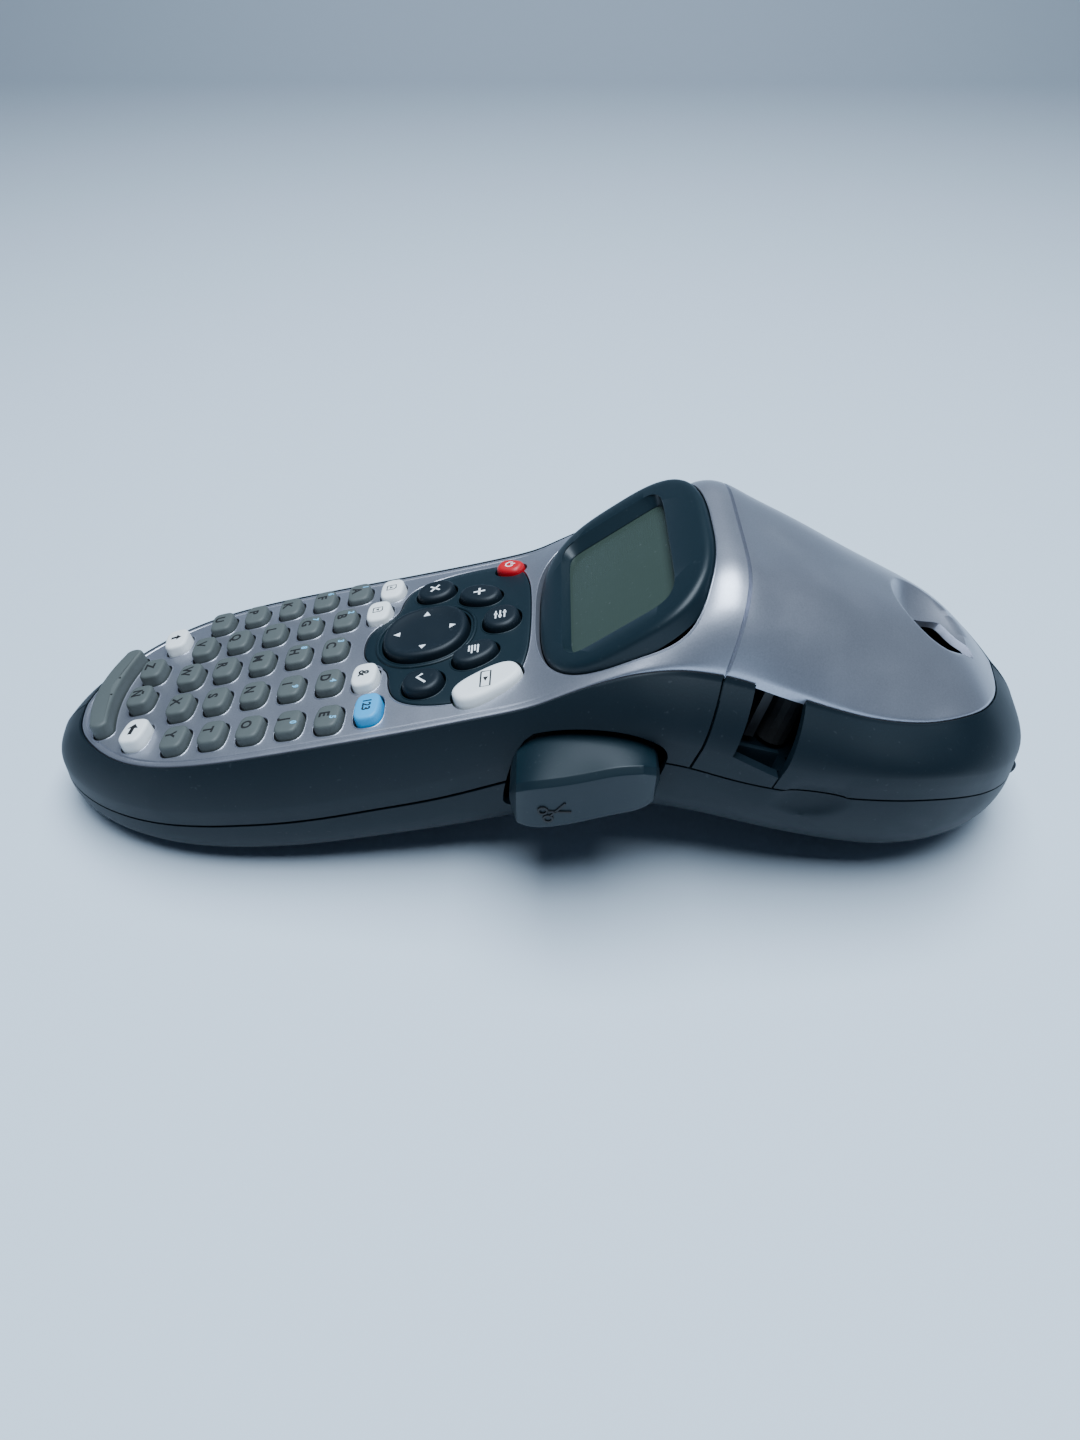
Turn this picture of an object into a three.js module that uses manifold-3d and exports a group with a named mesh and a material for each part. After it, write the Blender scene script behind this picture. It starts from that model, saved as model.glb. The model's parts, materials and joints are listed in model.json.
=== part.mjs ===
// Hand-held label maker: curved handle with a keyboard, a raised display and a tape head with a lid.
// Local frame before the last shift: X from tail to nose, Y across, Z up, floor at 0, millimetres.
import * as THREE from "three";
import Module from "manifold-3d";

const wasm = await Module();
wasm.setup();

// ---- driving dimensions ----
const WALL = 2.2;
const GAP = 0.3;
const PLATE_TILT = 12.64 * Math.PI / 180;
const PLATE_AT = [45.48, 0, 28.97];
const DISPLAY_TILT = 35.7 * Math.PI / 180;
const DISPLAY_AT = [117.06, 0, 52.54];
const KEY_PITCH_S = 7.9;
const KEY_PITCH_Y = 10.34;
const KEY_LONG = 7.3;
const KEY_SHORT = 5.6;
const KEY_RISE = 3.0;
const KEY_ROOT = -3.6;
const HOLE_GAP = 0.4;
const SKIN = 1.8;
const BOARD_H = -7.4;
const DOOR_AXIS = [198, 13.8];
const KNUCKLE = 2.9;
const PIN = 1.1;
const CENTRE_Y = 2.0;
const CENTRE_X = 100.75;

// ---- control curves, each a list of [x, value] ----
const PLATE_RIM = [[5.8, 0], [6.3, 4], [7, 7], [8.7, 10.3], [11.2, 13.7], [15, 17.7], [18.7, 20.8],
  [23.7, 23.8], [29.6, 26], [36.2, 27.3], [45, 27.9], [57.5, 27.8], [76, 27.2], [91, 26.7], [101, 27],
  [113, 28], [126, 28.7], [138, 29.1], [148, 29.5], [161, 29], [168, 28.2], [174, 26.8], [179.7, 24.6],
  [185, 21], [189.2, 15.5], [192.2, 9], [193.9, 0]];
const RIM_Z = [[5.8, 18.6], [45, 27.2], [91, 37.7], [101, 40.8], [107, 44.3], [113.8, 47.6], [120, 49.4],
  [126, 50], [134, 48.9], [139.5, 47.4], [148.5, 44.5], [154.3, 42.4], [161, 40.2], [168, 38.6],
  [174, 37.6], [180, 37], [185, 36], [189.2, 34.3], [192, 32.8], [193.9, 31.8]];
const TOP_Z = [[5.8, 18.7], [45, 28.86], [96, 40.3], [100, 41.4], [104, 43.5], [108, 46.03], [117, 52.5],
  [130, 61.84], [133, 63.7], [136, 64.3], [139, 63.7], [143.4, 61.6], [155, 56.5], [166, 51],
  [176.6, 45.6], [183.4, 41.3], [190.4, 35.4], [193.9, 31.8]];
const CROWN = [[5.8, 2], [92, 2], [101, 3], [110, 6], [136, 6], [146, 4.6], [165, 3], [193.9, 2]];
const WIDE = [[0, 0], [0.8, 5], [2.8, 10], [6, 14.5], [10.2, 18.6], [15.6, 22.4], [23, 26], [32, 28.8],
  [42, 30.3], [55, 30.8], [75, 30.4], [92, 30.2], [103, 31], [115, 32.7], [130, 34.9], [145, 36],
  [157, 36.3], [168, 35.8], [176, 34], [183, 30.8], [190, 25.3], [196, 17.5], [199.8, 9.5], [201.5, 0]];
const SEAM_Z = [[0, 9.6], [10, 10], [24, 11.2], [33, 12.4], [43, 13.8], [52, 14.9], [62, 16.6],
  [71, 18.6], [81, 20.8], [90, 23.6], [96, 26], [105, 29.6], [115, 33], [122, 34.4], [128, 33.9],
  [136, 31.5], [144.5, 29.6], [157, 27.8], [165, 27], [172, 26.3], [179, 24.8], [188, 21.4],
  [198, 16], [201.5, 13.8]];
const WIDE_RISE = [[0, 3.2], [40, 3.6], [95, 4.2], [125, 5.5], [201.5, 5.5]];
const BELLY_Z = [[13, 3.2], [20, 1.2], [30, -0.1], [40, -0.35], [50, 0.1], [60, 1.1], [75, 3.6], [89, 6.4],
  [105, 9.6], [118, 10.8], [130, 9.4], [143, 5.2], [155, 1.5], [163, -0.4], [170, -0.8], [177, -0.1],
  [184, 2.4], [189, 5.1]];
const BELLY_POWER = [[0, 3.0], [90, 3.1], [125, 2.4], [201, 2.3]];

// Piecewise cubic through control points, with the slopes of neighbouring chords averaged.
function along(points, x) {
  const n = points.length;
  if (x <= points[0][0]) return points[0][1];
  if (x >= points[n - 1][0]) return points[n - 1][1];
  let i = 0;
  while (points[i + 1][0] < x) i++;
  const chord = (k) => (points[k + 1][1] - points[k][1]) / (points[k + 1][0] - points[k][0]);
  const slope = (k) => {
    if (k === 0) return chord(0);
    if (k === n - 1) return chord(n - 2);
    const a = chord(k - 1);
    const b = chord(k);
    return a * b <= 0 ? 0 : (2 * a * b) / (a + b);
  };
  const h = points[i + 1][0] - points[i][0];
  const t = (x - points[i][0]) / h;
  const [p, q] = [points[i][1], points[i + 1][1]];
  const [m, k] = [slope(i) * h, slope(i + 1) * h];
  return (2 * t ** 3 - 3 * t ** 2 + 1) * p + (t ** 3 - 2 * t ** 2 + t) * m
    + (3 * t ** 2 - 2 * t ** 3) * q + (t ** 3 - t ** 2) * k;
}

const rimY = (x) => along(PLATE_RIM, x);
const seamZ = (x) => along(SEAM_Z, x);

// Height of the upper skin, flat across in the middle and rolling down to the rim.
function topZ(x, y) {
  const top = along(TOP_Z, x);
  const rim = Math.min(along(RIM_Z, x), top);
  const q = Math.min(Math.abs(y) / Math.max(rimY(x), 1e-6), 1);
  return top - (top - rim) * q ** along(CROWN, x);
}

// ---- solids from grids ----
function manifoldOf(positions, triangles) {
  const g = new THREE.BufferGeometry();
  const keys = new Map();
  const merged = [];
  const at = positions.map((p) => {
    const key = p.map((v) => Math.round(v * 1e4)).join();
    if (!keys.has(key)) {
      keys.set(key, merged.length / 3);
      merged.push(...p);
    }
    return keys.get(key);
  });
  const faces = [];
  for (const [a, b, c] of triangles) {
    const [i, j, k] = [at[a], at[b], at[c]];
    if (i !== j && j !== k && i !== k) faces.push(i, j, k);
  }
  g.dispose();
  const make = (tri) => new wasm.Manifold(new wasm.Mesh({
    numProp: 3,
    vertProperties: new Float32Array(merged),
    triVerts: new Uint32Array(tri),
  }));
  const made = make(faces);
  if (made.volume() > 0) return made;
  const turned = [];
  for (let i = 0; i < faces.length; i += 3) turned.push(faces[i], faces[i + 2], faces[i + 1]);
  return make(turned);
}

// Rows of equally long closed rings; the first and last ring shrink to a line or are capped flat.
function loft(rows, capEnds = false) {
  const n = rows[0].length;
  const positions = rows.flat();
  const triangles = [];
  for (let i = 0; i + 1 < rows.length; i++) {
    for (let j = 0; j < n; j++) {
      const k = (j + 1) % n;
      const [a, b, c, d] = [i * n + j, i * n + k, (i + 1) * n + k, (i + 1) * n + j];
      triangles.push([a, b, c], [a, c, d]);
    }
  }
  if (capEnds) {
    for (const [row, flip] of [[0, true], [rows.length - 1, false]]) {
      const flat = rows[row].map((p) => new THREE.Vector2(p[0], p[1]));
      for (const t of THREE.ShapeUtils.triangulateShape(flat, [])) {
        const [a, b, c] = t.map((v) => row * n + v);
        triangles.push(flip ? [a, c, b] : [a, b, c]);
      }
    }
  }
  return manifoldOf(positions, triangles);
}

// Rings joined round a closed cycle, such as a frame round an opening.
function ringLoft(rows) {
  const n = rows[0].length;
  const m = rows.length;
  const triangles = [];
  for (let i = 0; i < m; i++) {
    for (let j = 0; j < n; j++) {
      const k = (j + 1) % n;
      const l = (i + 1) % m;
      const [a, b, c, d] = [i * n + j, i * n + k, l * n + k, l * n + j];
      triangles.push([a, b, c], [a, c, d]);
    }
  }
  return manifoldOf(rows.flat(), triangles);
}

function solidOf(geometry, matrix) {
  const g = (geometry.index ? geometry.toNonIndexed() : geometry.clone());
  if (matrix) g.applyMatrix4(matrix);
  const p = g.getAttribute("position");
  const positions = [];
  for (let i = 0; i < p.count; i++) positions.push([p.getX(i), p.getY(i), p.getZ(i)]);
  const triangles = [];
  for (let i = 0; i < p.count; i += 3) triangles.push([i, i + 1, i + 2]);
  return manifoldOf(positions, triangles);
}

function box(x0, x1, y0, y1, z0, z1) {
  const g = new THREE.BoxGeometry(x1 - x0, y1 - y0, z1 - z0);
  g.translate((x0 + x1) / 2, (y0 + y1) / 2, (z0 + z1) / 2);
  return solidOf(g);
}

// Prism of an [x, z] outline, running along Y from y0 to y1.
function sidePrism(outline, y0, y1) {
  const shape = new THREE.Shape(outline.map(([x, z]) => new THREE.Vector2(x, z)));
  const g = new THREE.ExtrudeGeometry(shape, { depth: y1 - y0, bevelEnabled: false });
  g.applyMatrix4(new THREE.Matrix4().makeRotationX(Math.PI / 2));
  g.translate(0, y1, 0);
  return solidOf(g);
}

const plateMatrix = new THREE.Matrix4().makeRotationY(-PLATE_TILT).setPosition(...PLATE_AT);
const displayMatrix = new THREE.Matrix4().makeRotationY(-DISPLAY_TILT).setPosition(...DISPLAY_AT);

// ---- the body as one grid: rim, widest line, seam and belly are rings along the length ----
const STATIONS = 27;
const share = (i, n) => (1 - Math.cos(Math.PI * i / n)) / 2 * 0.55 + (i / n) * 0.45;

function bodyRing(t, d, coarse) {
  const span = (points) => {
    const a = points[0][0];
    const b = points[points.length - 1][0];
    return [a + (b - a) * t, a + d + (b - a - 2 * d) * t];
  };
  const [rx, rxd] = span(PLATE_RIM);
  const [wx, wxd] = span(WIDE);
  const [bx, bxd] = span(BELLY_Z);
  const ry = rimY(rx) * (1 - d / 29);
  const wy = along(WIDE, wx) * (1 - d / 36);
  const wz = seamZ(wx) + along(WIDE_RISE, wx);
  const rz = topZ(rxd, ry / (1 - d / 29)) - d;
  const sy = wy - 0.55 * wy / 36;
  const sz = seamZ(wx);
  const bz = along(BELLY_Z, bx) + d;
  const half = [];
  for (const q of coarse ? [0, 0.55, 0.82] : [0, 0.42, 0.7, 0.87]) {
    half.push([rxd, ry * q, topZ(rxd, ry * q / (1 - d / 29)) - d]);
  }
  for (const a of coarse ? [0, 0.5] : [0, 0.3, 0.62]) {
    const w = 1 - (1 - a) ** 1.7;
    half.push([rxd + (wxd - rxd) * w, ry + (wy - ry) * w, rz + (wz - rz) * a]);
  }
  half.push([wxd, wy, wz]);
  if (!coarse) half.push([wxd, sy, sz]);
  for (const a of coarse ? [0.35, 0.68, 1] : [0.25, 0.5, 0.75, 1]) {
    const c = Math.cos(a * Math.PI / 2) ** (2 / along(BELLY_POWER, bx));
    const s = Math.sin(a * Math.PI / 2) ** (2 / along(BELLY_POWER, bx));
    const w = 1 - c;
    half.push([wxd + (bxd - wxd) * w, sy * c, sz + (bz - sz) * s]);
  }
  const ring = half.slice();
  for (let j = half.length - 2; j > 0; j--) ring.push([half[j][0], -half[j][1], half[j][2]]);
  return ring;
}

function body(d) {
  const rows = [];
  const n = d ? STATIONS - 10 : STATIONS;
  for (let i = 0; i <= n; i++) rows.push(bodyRing(share(i, n), d, d > 0));
  for (const end of [0, n]) for (const p of rows[end]) p[1] = 0;
  return loft(rows);
}

const floorCut = box(-10, 220, -60, 60, -20, 0);
const outer = body(0).subtract(floorCut);
const inner = body(WALL);
const shell = outer.subtract(inner);

// Region below the side seam, dropped by the given amount.
function underSeam(drop) {
  const line = [];
  for (let x = 0; x <= 201.6; x += 8.06) line.push([x, seamZ(x) - drop]);
  return sidePrism([[-12, seamZ(0) - drop], ...line, [215, seamZ(203) - drop], [215, -30], [-12, -30]], -60, 60);
}

// The leaning plane of the lid's front joint, as a region on its nose side.
const frontX = (z) => 139 + 0.32 * (z - 63);
const noseSide = (dx) => sidePrism([[frontX(-20) + dx, -20], [frontX(110) + dx, 110], [230, 110], [230, -20]],
  -60, 60);

// Upper skin of the handle and display surround, as a slab that follows the surface.
function skinSlab(inset, up, down) {
  const rows = [];
  const n = 17;
  for (let i = 0; i <= n; i++) {
    const t = (1 - Math.cos(Math.PI * i / n)) / 2 * 0.3 + (i / n) * 0.7;
    const x0 = PLATE_RIM[0][0] + inset;
    const x = x0 + (144 - x0) * t;
    const edge = Math.max(rimY(Math.max(PLATE_RIM[0][0], x - inset * (1 - t))) - inset, 0) * (i ? 1 : 0);
    const row = [];
    const qs = [-1, -0.88, -0.68, 0, 0.68, 0.88, 1];
    for (const q of qs) row.push([x, edge * q, topZ(x, edge * q) + up]);
    for (const q of qs.slice().reverse()) row.push([x, edge * q, topZ(x, edge * q) - down]);
    rows.push(row);
  }
  const last = rows[rows.length - 1];
  const m = last.length / 2;
  const positions = rows.flat();
  const n2 = last.length;
  const triangles = [];
  for (let i = 0; i + 1 < rows.length; i++) {
    for (let j = 0; j < n2; j++) {
      const k = (j + 1) % n2;
      const [a, b, c, d] = [i * n2 + j, i * n2 + k, (i + 1) * n2 + k, (i + 1) * n2 + j];
      triangles.push([a, b, c], [a, c, d]);
    }
  }
  for (const base of [0, (rows.length - 1) * n2]) {
    for (let j = 0; j + 1 < m; j++) {
      const [a, b, c, d] = [base + j, base + j + 1, base + n2 - 2 - j, base + n2 - 1 - j];
      if (base) triangles.push([a, b, c], [a, c, d]);
      else triangles.push([a, c, b], [a, d, c]);
    }
  }
  return manifoldOf(positions, triangles);
}

// ---- outlines in the plane of a key or a frame ----
function superEllipse(cx, cy, a, b, power, n, turn = 0) {
  const out = [];
  for (let i = 0; i < n; i++) {
    const u = (i + 0.5) / n * 2 * Math.PI;
    const [c, s] = [Math.cos(u), Math.sin(u)];
    const x = a * Math.sign(c) * Math.abs(c) ** (2 / power);
    const y = b * Math.sign(s) * Math.abs(s) ** (2 / power);
    out.push([cx + x * Math.cos(turn) - y * Math.sin(turn), cy + x * Math.sin(turn) + y * Math.cos(turn)]);
  }
  return out;
}

// Outline grown by a distance along its own normals.
function grown(outline, by) {
  const n = outline.length;
  return outline.map((p, i) => {
    const a = outline[(i + n - 1) % n];
    const b = outline[(i + 1) % n];
    const [tx, ty] = [b[0] - a[0], b[1] - a[1]];
    const l = Math.hypot(tx, ty);
    return [p[0] + ty / l * by, p[1] - tx / l * by];
  });
}

function prism(outline, z0, z1, matrix) {
  const g = new THREE.ExtrudeGeometry(new THREE.Shape(outline.map((p) => new THREE.Vector2(...p))),
    { depth: z1 - z0, bevelEnabled: false });
  g.translate(0, 0, z0);
  return solidOf(g, matrix);
}

const root = new THREE.Group();
const unit = new THREE.Group();
unit.position.set(-CENTRE_X, CENTRE_Y, 0);
root.add(unit);

function addMesh(name, solid, color, parent = unit, roughness = 0.6, metalness = 0) {
  const m = solid.getMesh();
  const g = new THREE.BufferGeometry();
  const positions = new Float32Array(m.numVert * 3);
  for (let i = 0; i < m.numVert; i++) {
    positions.set(m.vertProperties.subarray(i * m.numProp, i * m.numProp + 3), i * 3);
  }
  g.setAttribute("position", new THREE.BufferAttribute(positions, 3));
  g.setIndex(new THREE.BufferAttribute(m.triVerts, 1));
  g.computeVertexNormals();
  const mesh = new THREE.Mesh(g, new THREE.MeshStandardMaterial({ color, roughness, metalness, flatShading: true }));
  mesh.name = name;
  parent.add(mesh);
  return mesh;
}

const DARK = 0x26313a;
const SILVER = 0x9a9cab;
const GREY = 0x5c6466;
const WHITE = 0xe6e6e4;

// ---- keys ----
// Each key: name, place along the slope and across, outline half sizes, turn, corner power, colour, rise.
const keys = [];
const addKey = (name, s, y, a, b, o = {}) => keys.push({ name, s, y, a, b, turn: 0, power: 3.4, n: 8,
  color: GREY, rise: KEY_RISE, onPanel: false, travel: true, ...o });

const LETTERS = "ABCDEFGHIJKLMNOPQRSTUVWXY";
for (let row = 0; row < 5; row++) {
  for (let col = -2; col <= 2; col++) {
    addKey("key_" + LETTERS[row * 5 + col + 2].toLowerCase(),
      -(row - 2) * KEY_PITCH_S + 0.468 * col * col,
      -col * KEY_PITCH_Y * (1 - 0.02 * (row - 2)),
      KEY_SHORT / 2, KEY_LONG / 2, { turn: -col * 0.027 });
  }
}
addKey("key_z", -25.5, 4.7, KEY_SHORT / 2, 3.6);
addKey("key_enye", -25.5, -4.7, KEY_SHORT / 2, 3.6);
addKey("key_caps", -23.4, 15.6, 2.9, 3.9, { color: WHITE, turn: 0.12 });
addKey("key_erase", -23.4, -15.9, 2.9, 3.9, { color: WHITE, turn: -0.12 });
addKey("key_save", 23.7, 11.1, KEY_SHORT / 2, 3.9, { color: WHITE });
addKey("key_open", 25.4, 20.2, KEY_SHORT / 2, 3.9, { color: WHITE });
addKey("key_symbol", 23.7, -11.1, KEY_SHORT / 2, 3.9, { color: WHITE });
addKey("key_numlock", 25.4, -20.6, KEY_SHORT / 2, 4.2, { color: 0x3fa4d6 });
const PANEL = { color: DARK, power: 2.15, onPanel: true, n: 10 };
addKey("nav_pad", 35.0, 0, 8.9, 8.7, { ...PANEL, power: 2.3, n: 16, rise: 3.2 });
addKey("key_cancel", 35.7, 15.8, 4.2, 3.7, { ...PANEL, turn: 0.1 });
addKey("key_insert", 45.7, 10.8, 4.7, 3.3, { ...PANEL, turn: -0.4 });
addKey("key_settings", 50.6, 0.4, 3.8, 4.0, { ...PANEL });
addKey("key_format", 45.7, -9.8, 4.7, 3.3, { ...PANEL, turn: 0.4 });
addKey("key_ok", 35.7, -15.8, 4.1, 3.8, { ...PANEL, turn: -0.1 });
addKey("key_print", 48.4, -19.2, 7.1, 3.8, { ...PANEL, color: WHITE, turn: 0.5, power: 2.6 });
addKey("key_power", 51.6, 20.6, 3.1, 2.5, { ...PANEL, color: 0xc22a35, turn: -0.45, power: 2.6 });

function outlineOf(k, by) {
  if (k.outline) return grown(k.outline, by);
  return superEllipse(k.s, k.y, k.a + by, k.b + by, k.power, k.n, k.turn);
}

// Space bar: a long key bent along the tail's outline.
const bar = [];
for (const v of [-1, -0.5, 0, 0.5, 1]) bar.push([-29.9 - 1.7 * (1 - v * v), 11.6 * v]);
bar.push([-30.9, 13.1], [-32.9, 13.1]);
for (const v of [1, 0.5, 0, -0.5, -1]) bar.push([-34.1 - 2.3 * (1 - v * v), 11.6 * v]);
bar.push([-32.9, -13.1], [-30.9, -13.1]);
keys.push({ name: "key_space", s: -33, y: 0, outline: bar, color: GREY, rise: KEY_RISE, onPanel: false });

const crownDrop = (y) => 0.0022 * y * y;
const plateGroup = new THREE.Group();
plateGroup.position.set(...PLATE_AT);
plateGroup.rotation.y = -PLATE_TILT;
unit.add(plateGroup);

for (const k of keys) {
  const top = k.rise - crownDrop(k.y);
  const flat = (by, h) => outlineOf(k, by).map(([s, y]) => [s, y, h]);
  addMesh(k.name, loft([flat(0, KEY_ROOT), flat(-0.15, top - 0.8), flat(-0.75, top)], true), k.color, plateGroup, 0.7);
}

// ---- openings in the upper skin ----
const PANEL_EDGE = [[22.2, 0], [22.6, 3.6], [24.4, 6.9], [27.4, 9.2], [28.3, 11], [28.5, 15.5], [29.9, 19.3],
  [33, 21.7], [38, 23.2], [44, 23.7], [49.5, 23], [53.6, 20], [55.4, 14], [56.2, 6.5], [56.4, 0]];
const panelOutline = [...PANEL_EDGE, ...PANEL_EDGE.slice(1, -1).reverse().map(([s, y]) => [s, -y])].reverse();
const bezelOuter = (by, n = 28) => superEllipse(1.1, 0, 19.1 + by, 25.8 + by, 3.0, n);

let skin = skinSlab(0.5, 0, SKIN);
skin = skin.subtract(noseSide(-GAP));
skin = skin.subtract(prism(grown(panelOutline, GAP), -8, 8, plateMatrix));
skin = skin.subtract(prism(bezelOuter(GAP), -12, 12, displayMatrix));
for (const k of keys) {
  if (k.onPanel && k.name !== "key_print" && k.name !== "key_power") continue;
  skin = skin.subtract(prism(outlineOf(k, HOLE_GAP), -8, 8, plateMatrix));
}
addMesh("keyboard_fascia", skin, SILVER, unit, 0.4, 0.6);

// Dark panel under the function buttons, with a hole for each of them.
let panel = prism(panelOutline, -1.8, 0.1, plateMatrix);
for (const k of keys) if (k.onPanel || Math.abs(k.s - 24) < 2) {
  panel = panel.subtract(prism(outlineOf(k, HOLE_GAP), -8, 8, plateMatrix));
}
addMesh("function_panel", panel, DARK, unit);

// Frame round the display: outer roll, crest, bevel down to the glass.
const rect = (a, b, power, h, n = 28) => superEllipse(0, 0, a, b, power, n).map(([s, y]) => [s, y, h]);
const oval = (by, h) => bezelOuter(by).map(([s, y]) => [s, y, h]);
const bezelRows = [oval(0, -3), oval(0, 0), oval(-0.8, 1.0), oval(-3.4, 1.9), rect(11.7, 19.6, 8, 1.8),
  rect(11.0, 16.5, 12, 0.2), rect(11.0, 16.5, 12, -3)];
const displayGroup = new THREE.Group();
displayGroup.position.set(...DISPLAY_AT);
displayGroup.rotation.y = -DISPLAY_TILT;
unit.add(displayGroup);
addMesh("display_bezel", ringLoft(bezelRows), DARK, displayGroup);
addMesh("lcd_module", prism(superEllipse(0, 0, 10.6, 16.1, 12, 28), -4.5, -0.1), 0x6c7a70, displayGroup, 0.3);

// ---- shells ----
const upper = shell.subtract(underSeam(-GAP / 2));
const lower = shell.intersect(underSeam(GAP / 2));

// Cut-out in the near wall for the cutter lever, crossing the side seam.
const LEVER_HOLE = [[95.2, 21.8], [98.9, 36.2], [106, 38.7], [114, 40], [120.4, 39.7], [125.4, 37.2], [124.6, 32],
  [121.4, 24.2], [112, 21.8], [101, 19.6], [96.4, 19.6]];
const leverHole = sidePrism(LEVER_HOLE, -60, -20);

let front = upper.subtract(noseSide(-GAP)).subtract(skinSlab(0.2, 30, SKIN + GAP)).subtract(skinSlab(1.5, 30, 9));
front = front.subtract(leverHole);
front = front.subtract(prism(grown(panelOutline, GAP), -8, 8, plateMatrix));
front = front.subtract(prism(bezelOuter(GAP), -6, 12, displayMatrix));
for (const k of keys) if (!k.onPanel || k.name === "key_print") {
  front = front.subtract(prism(outlineOf(k, HOLE_GAP), -8, 8, plateMatrix));
}
addMesh("front_housing", front, DARK);

let rear = lower.subtract(leverHole);
const rod = (r, y0, y1, n = 16) => solidOf(new THREE.CylinderGeometry(r, r, y1 - y0, n)
  .translate(DOOR_AXIS[0], (y0 + y1) / 2, 0).translate(0, 0, DOOR_AXIS[1]));
// Hinge at the nose: the lid's knuckle in the middle, the base's two ears beside it.
rear = rear.subtract(rod(1.7, -16, 16)).subtract(rod(KNUCKLE + 0.9, -8.3, 8.3));
rear = rear.add(rod(KNUCKLE - GAP, -11.5, -8.3).add(rod(KNUCKLE - GAP, 8.3, 11.5)).intersect(outer));
rear = rear.subtract(rod(PIN + 0.1, -13, 13));

// Battery lid, cut out of the belly.
const LID = [52, 110, 17];
const lidZone = box(LID[0], LID[1], -LID[2], LID[2], -5, 18);
const lidPiece = lower.intersect(lidZone);
rear = rear.subtract(box(LID[0] - GAP, LID[1] + GAP, -LID[2] - GAP, LID[2] + GAP, -5, 18));
// Shallow finger notch across the side seam, on both sides.
const notch = (side) => solidOf(new THREE.SphereGeometry(1, 12, 8).scale(6, 1.9, 3.7)
  .translate(151.8, side * 37, 26.8));
rear = rear.subtract(notch(-1)).subtract(notch(1));
addMesh("rear_housing", rear, DARK);
addMesh("battery_cover", lidPiece, DARK);

// ---- head: cheeks with the tape slot, bay for the tape, lid ----
const CHEEK_X = (z) => 144.3 + 0.325 * (z - 30.2);
const cheekZone = (by) => sidePrism([
  [frontX(10), 10], [frontX(48.5), 48.5 + by], [141, along(RIM_Z, 141) + by],
  [CHEEK_X(44.6) + by, along(RIM_Z, 149) + by], [CHEEK_X(10) + by, 10],
], -60, 60);
const slot = sidePrism([[136.5, 37.2], [139.9, 47], [143, 60], [156, 60], [149.8, 43], [145.8, 32.6], [143.8, 32.8]],
  -60, -20);

const CASSETTE_TILT = 15 * Math.PI / 180;
const bayMatrix = new THREE.Matrix4().makeRotationY(CASSETTE_TILT).setPosition(163.4, 0, 33.2);
const inBay = (outline, h0, h1) => prism(outline, h0, h1, bayMatrix);
const rectangle = (x0, x1, y0, y1) => [[x0, y0], [x1, y0], [x1, y1], [x0, y1]];
const ROLLER_AT = [-16.6, -22.4];
const PINION_AT = [-9.6, -15.4];

const headUpper = upper.intersect(noseSide(0));
let bay = headUpper.intersect(cheekZone(0)).subtract(slot);
// Sloping tray under the tape, tied to both cheeks.
const tray = inBay(superEllipse(-1, 0, 24.5, 27, 5, 16), -9.1, -7.4).add(inBay(rectangle(-29, -14, -36, 36), -9.1, -7.4));
bay = bay.add(tray.intersect(body(WALL + 0.35)).subtract(noseSideCut()));
for (const y0 of [-34.2, 30.2]) {
  bay = bay.add(inBay(rectangle(-26, -17.5, y0, y0 + 4), -9.1, -3.6).intersect(body(0.5)).subtract(underSeam(-0.2)));
}
bay = bay.subtract(inBay(superEllipse(...ROLLER_AT, 1.8, 1.8, 2, 10), -20, 0));
addMesh("bay_frame", bay, DARK);

function noseSideCut() {
  return sidePrism([[100, -20], [100, 110], [frontX(110) + 1, 110], [frontX(-20) + 1, -20]], -60, 60);
}

let door = headUpper.subtract(cheekZone(GAP + 0.1)).subtract(notch(-1)).subtract(notch(1));
// Thumb-shaped hollow near the nose with a slot through its floor.
const scoopAt = new THREE.Matrix4().makeRotationY(35.8 * Math.PI / 180).setPosition(182.6, 0, 44.0);
const scoop = (by) => solidOf(new THREE.SphereGeometry(1, 14, 8).scale(11 + by, 11.5 + by, 7 + by), scoopAt);
door = door.add(scoop(1.5).intersect(outer).intersect(box(150, 200, -20, 20, 20, 60))).subtract(scoop(0));
door = door.subtract(prism(superEllipse(-0.6, -4.6, 3.9, 5.4, 4, 16), -30, 10, scoopAt));
const knuckle = rod(KNUCKLE, -8, 8).add(box(DOOR_AXIS[0] - 0.5, DOOR_AXIS[0] + 5, -8, 8, 14, 19)).intersect(outer);
for (const y0 of [-11.8, 8]) door = door.subtract(rod(KNUCKLE, y0, y0 + 3.8));
door = door.add(knuckle).subtract(rod(PIN + 0.15, -9, 9));
addMesh("cassette_door", door, SILVER, unit, 0.4, 0.5);
addMesh("hinge_pin", rod(PIN, -11.3, 11.3, 12), 0xb0b4b8, unit, 0.3, 0.9);

// ---- cutter ----
// Sections of the push lever along X: top at the wall, ridge and foot, each as height or distance out.
const LEVER = [
  { x: 97.0, top: 31.4, ridge: [36.6, 29.6], foot: [35.8, 23.6] },
  { x: 99.6, top: 35.0, ridge: [39.7, 33.4], foot: [38.8, 21.6] },
  { x: 104, top: 37.0, ridge: [40.2, 34.4], foot: [39.2, 21.6] },
  { x: 110, top: 38.1, ridge: [40.2, 35.6], foot: [39.2, 23.4] },
  { x: 115, top: 38.7, ridge: [40, 37.2], foot: [39, 25] },
  { x: 120, top: 38.4, ridge: [39.7, 37.5], foot: [38.4, 25.2] },
  { x: 123.2, top: 36.9, ridge: [38.8, 36.2], foot: [37.2, 26.6] },
  { x: 124.4, top: 34.4, ridge: [36.4, 33.6], foot: [35.6, 29.6] },
];
const LEVER_ROOT = -26.5;
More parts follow.
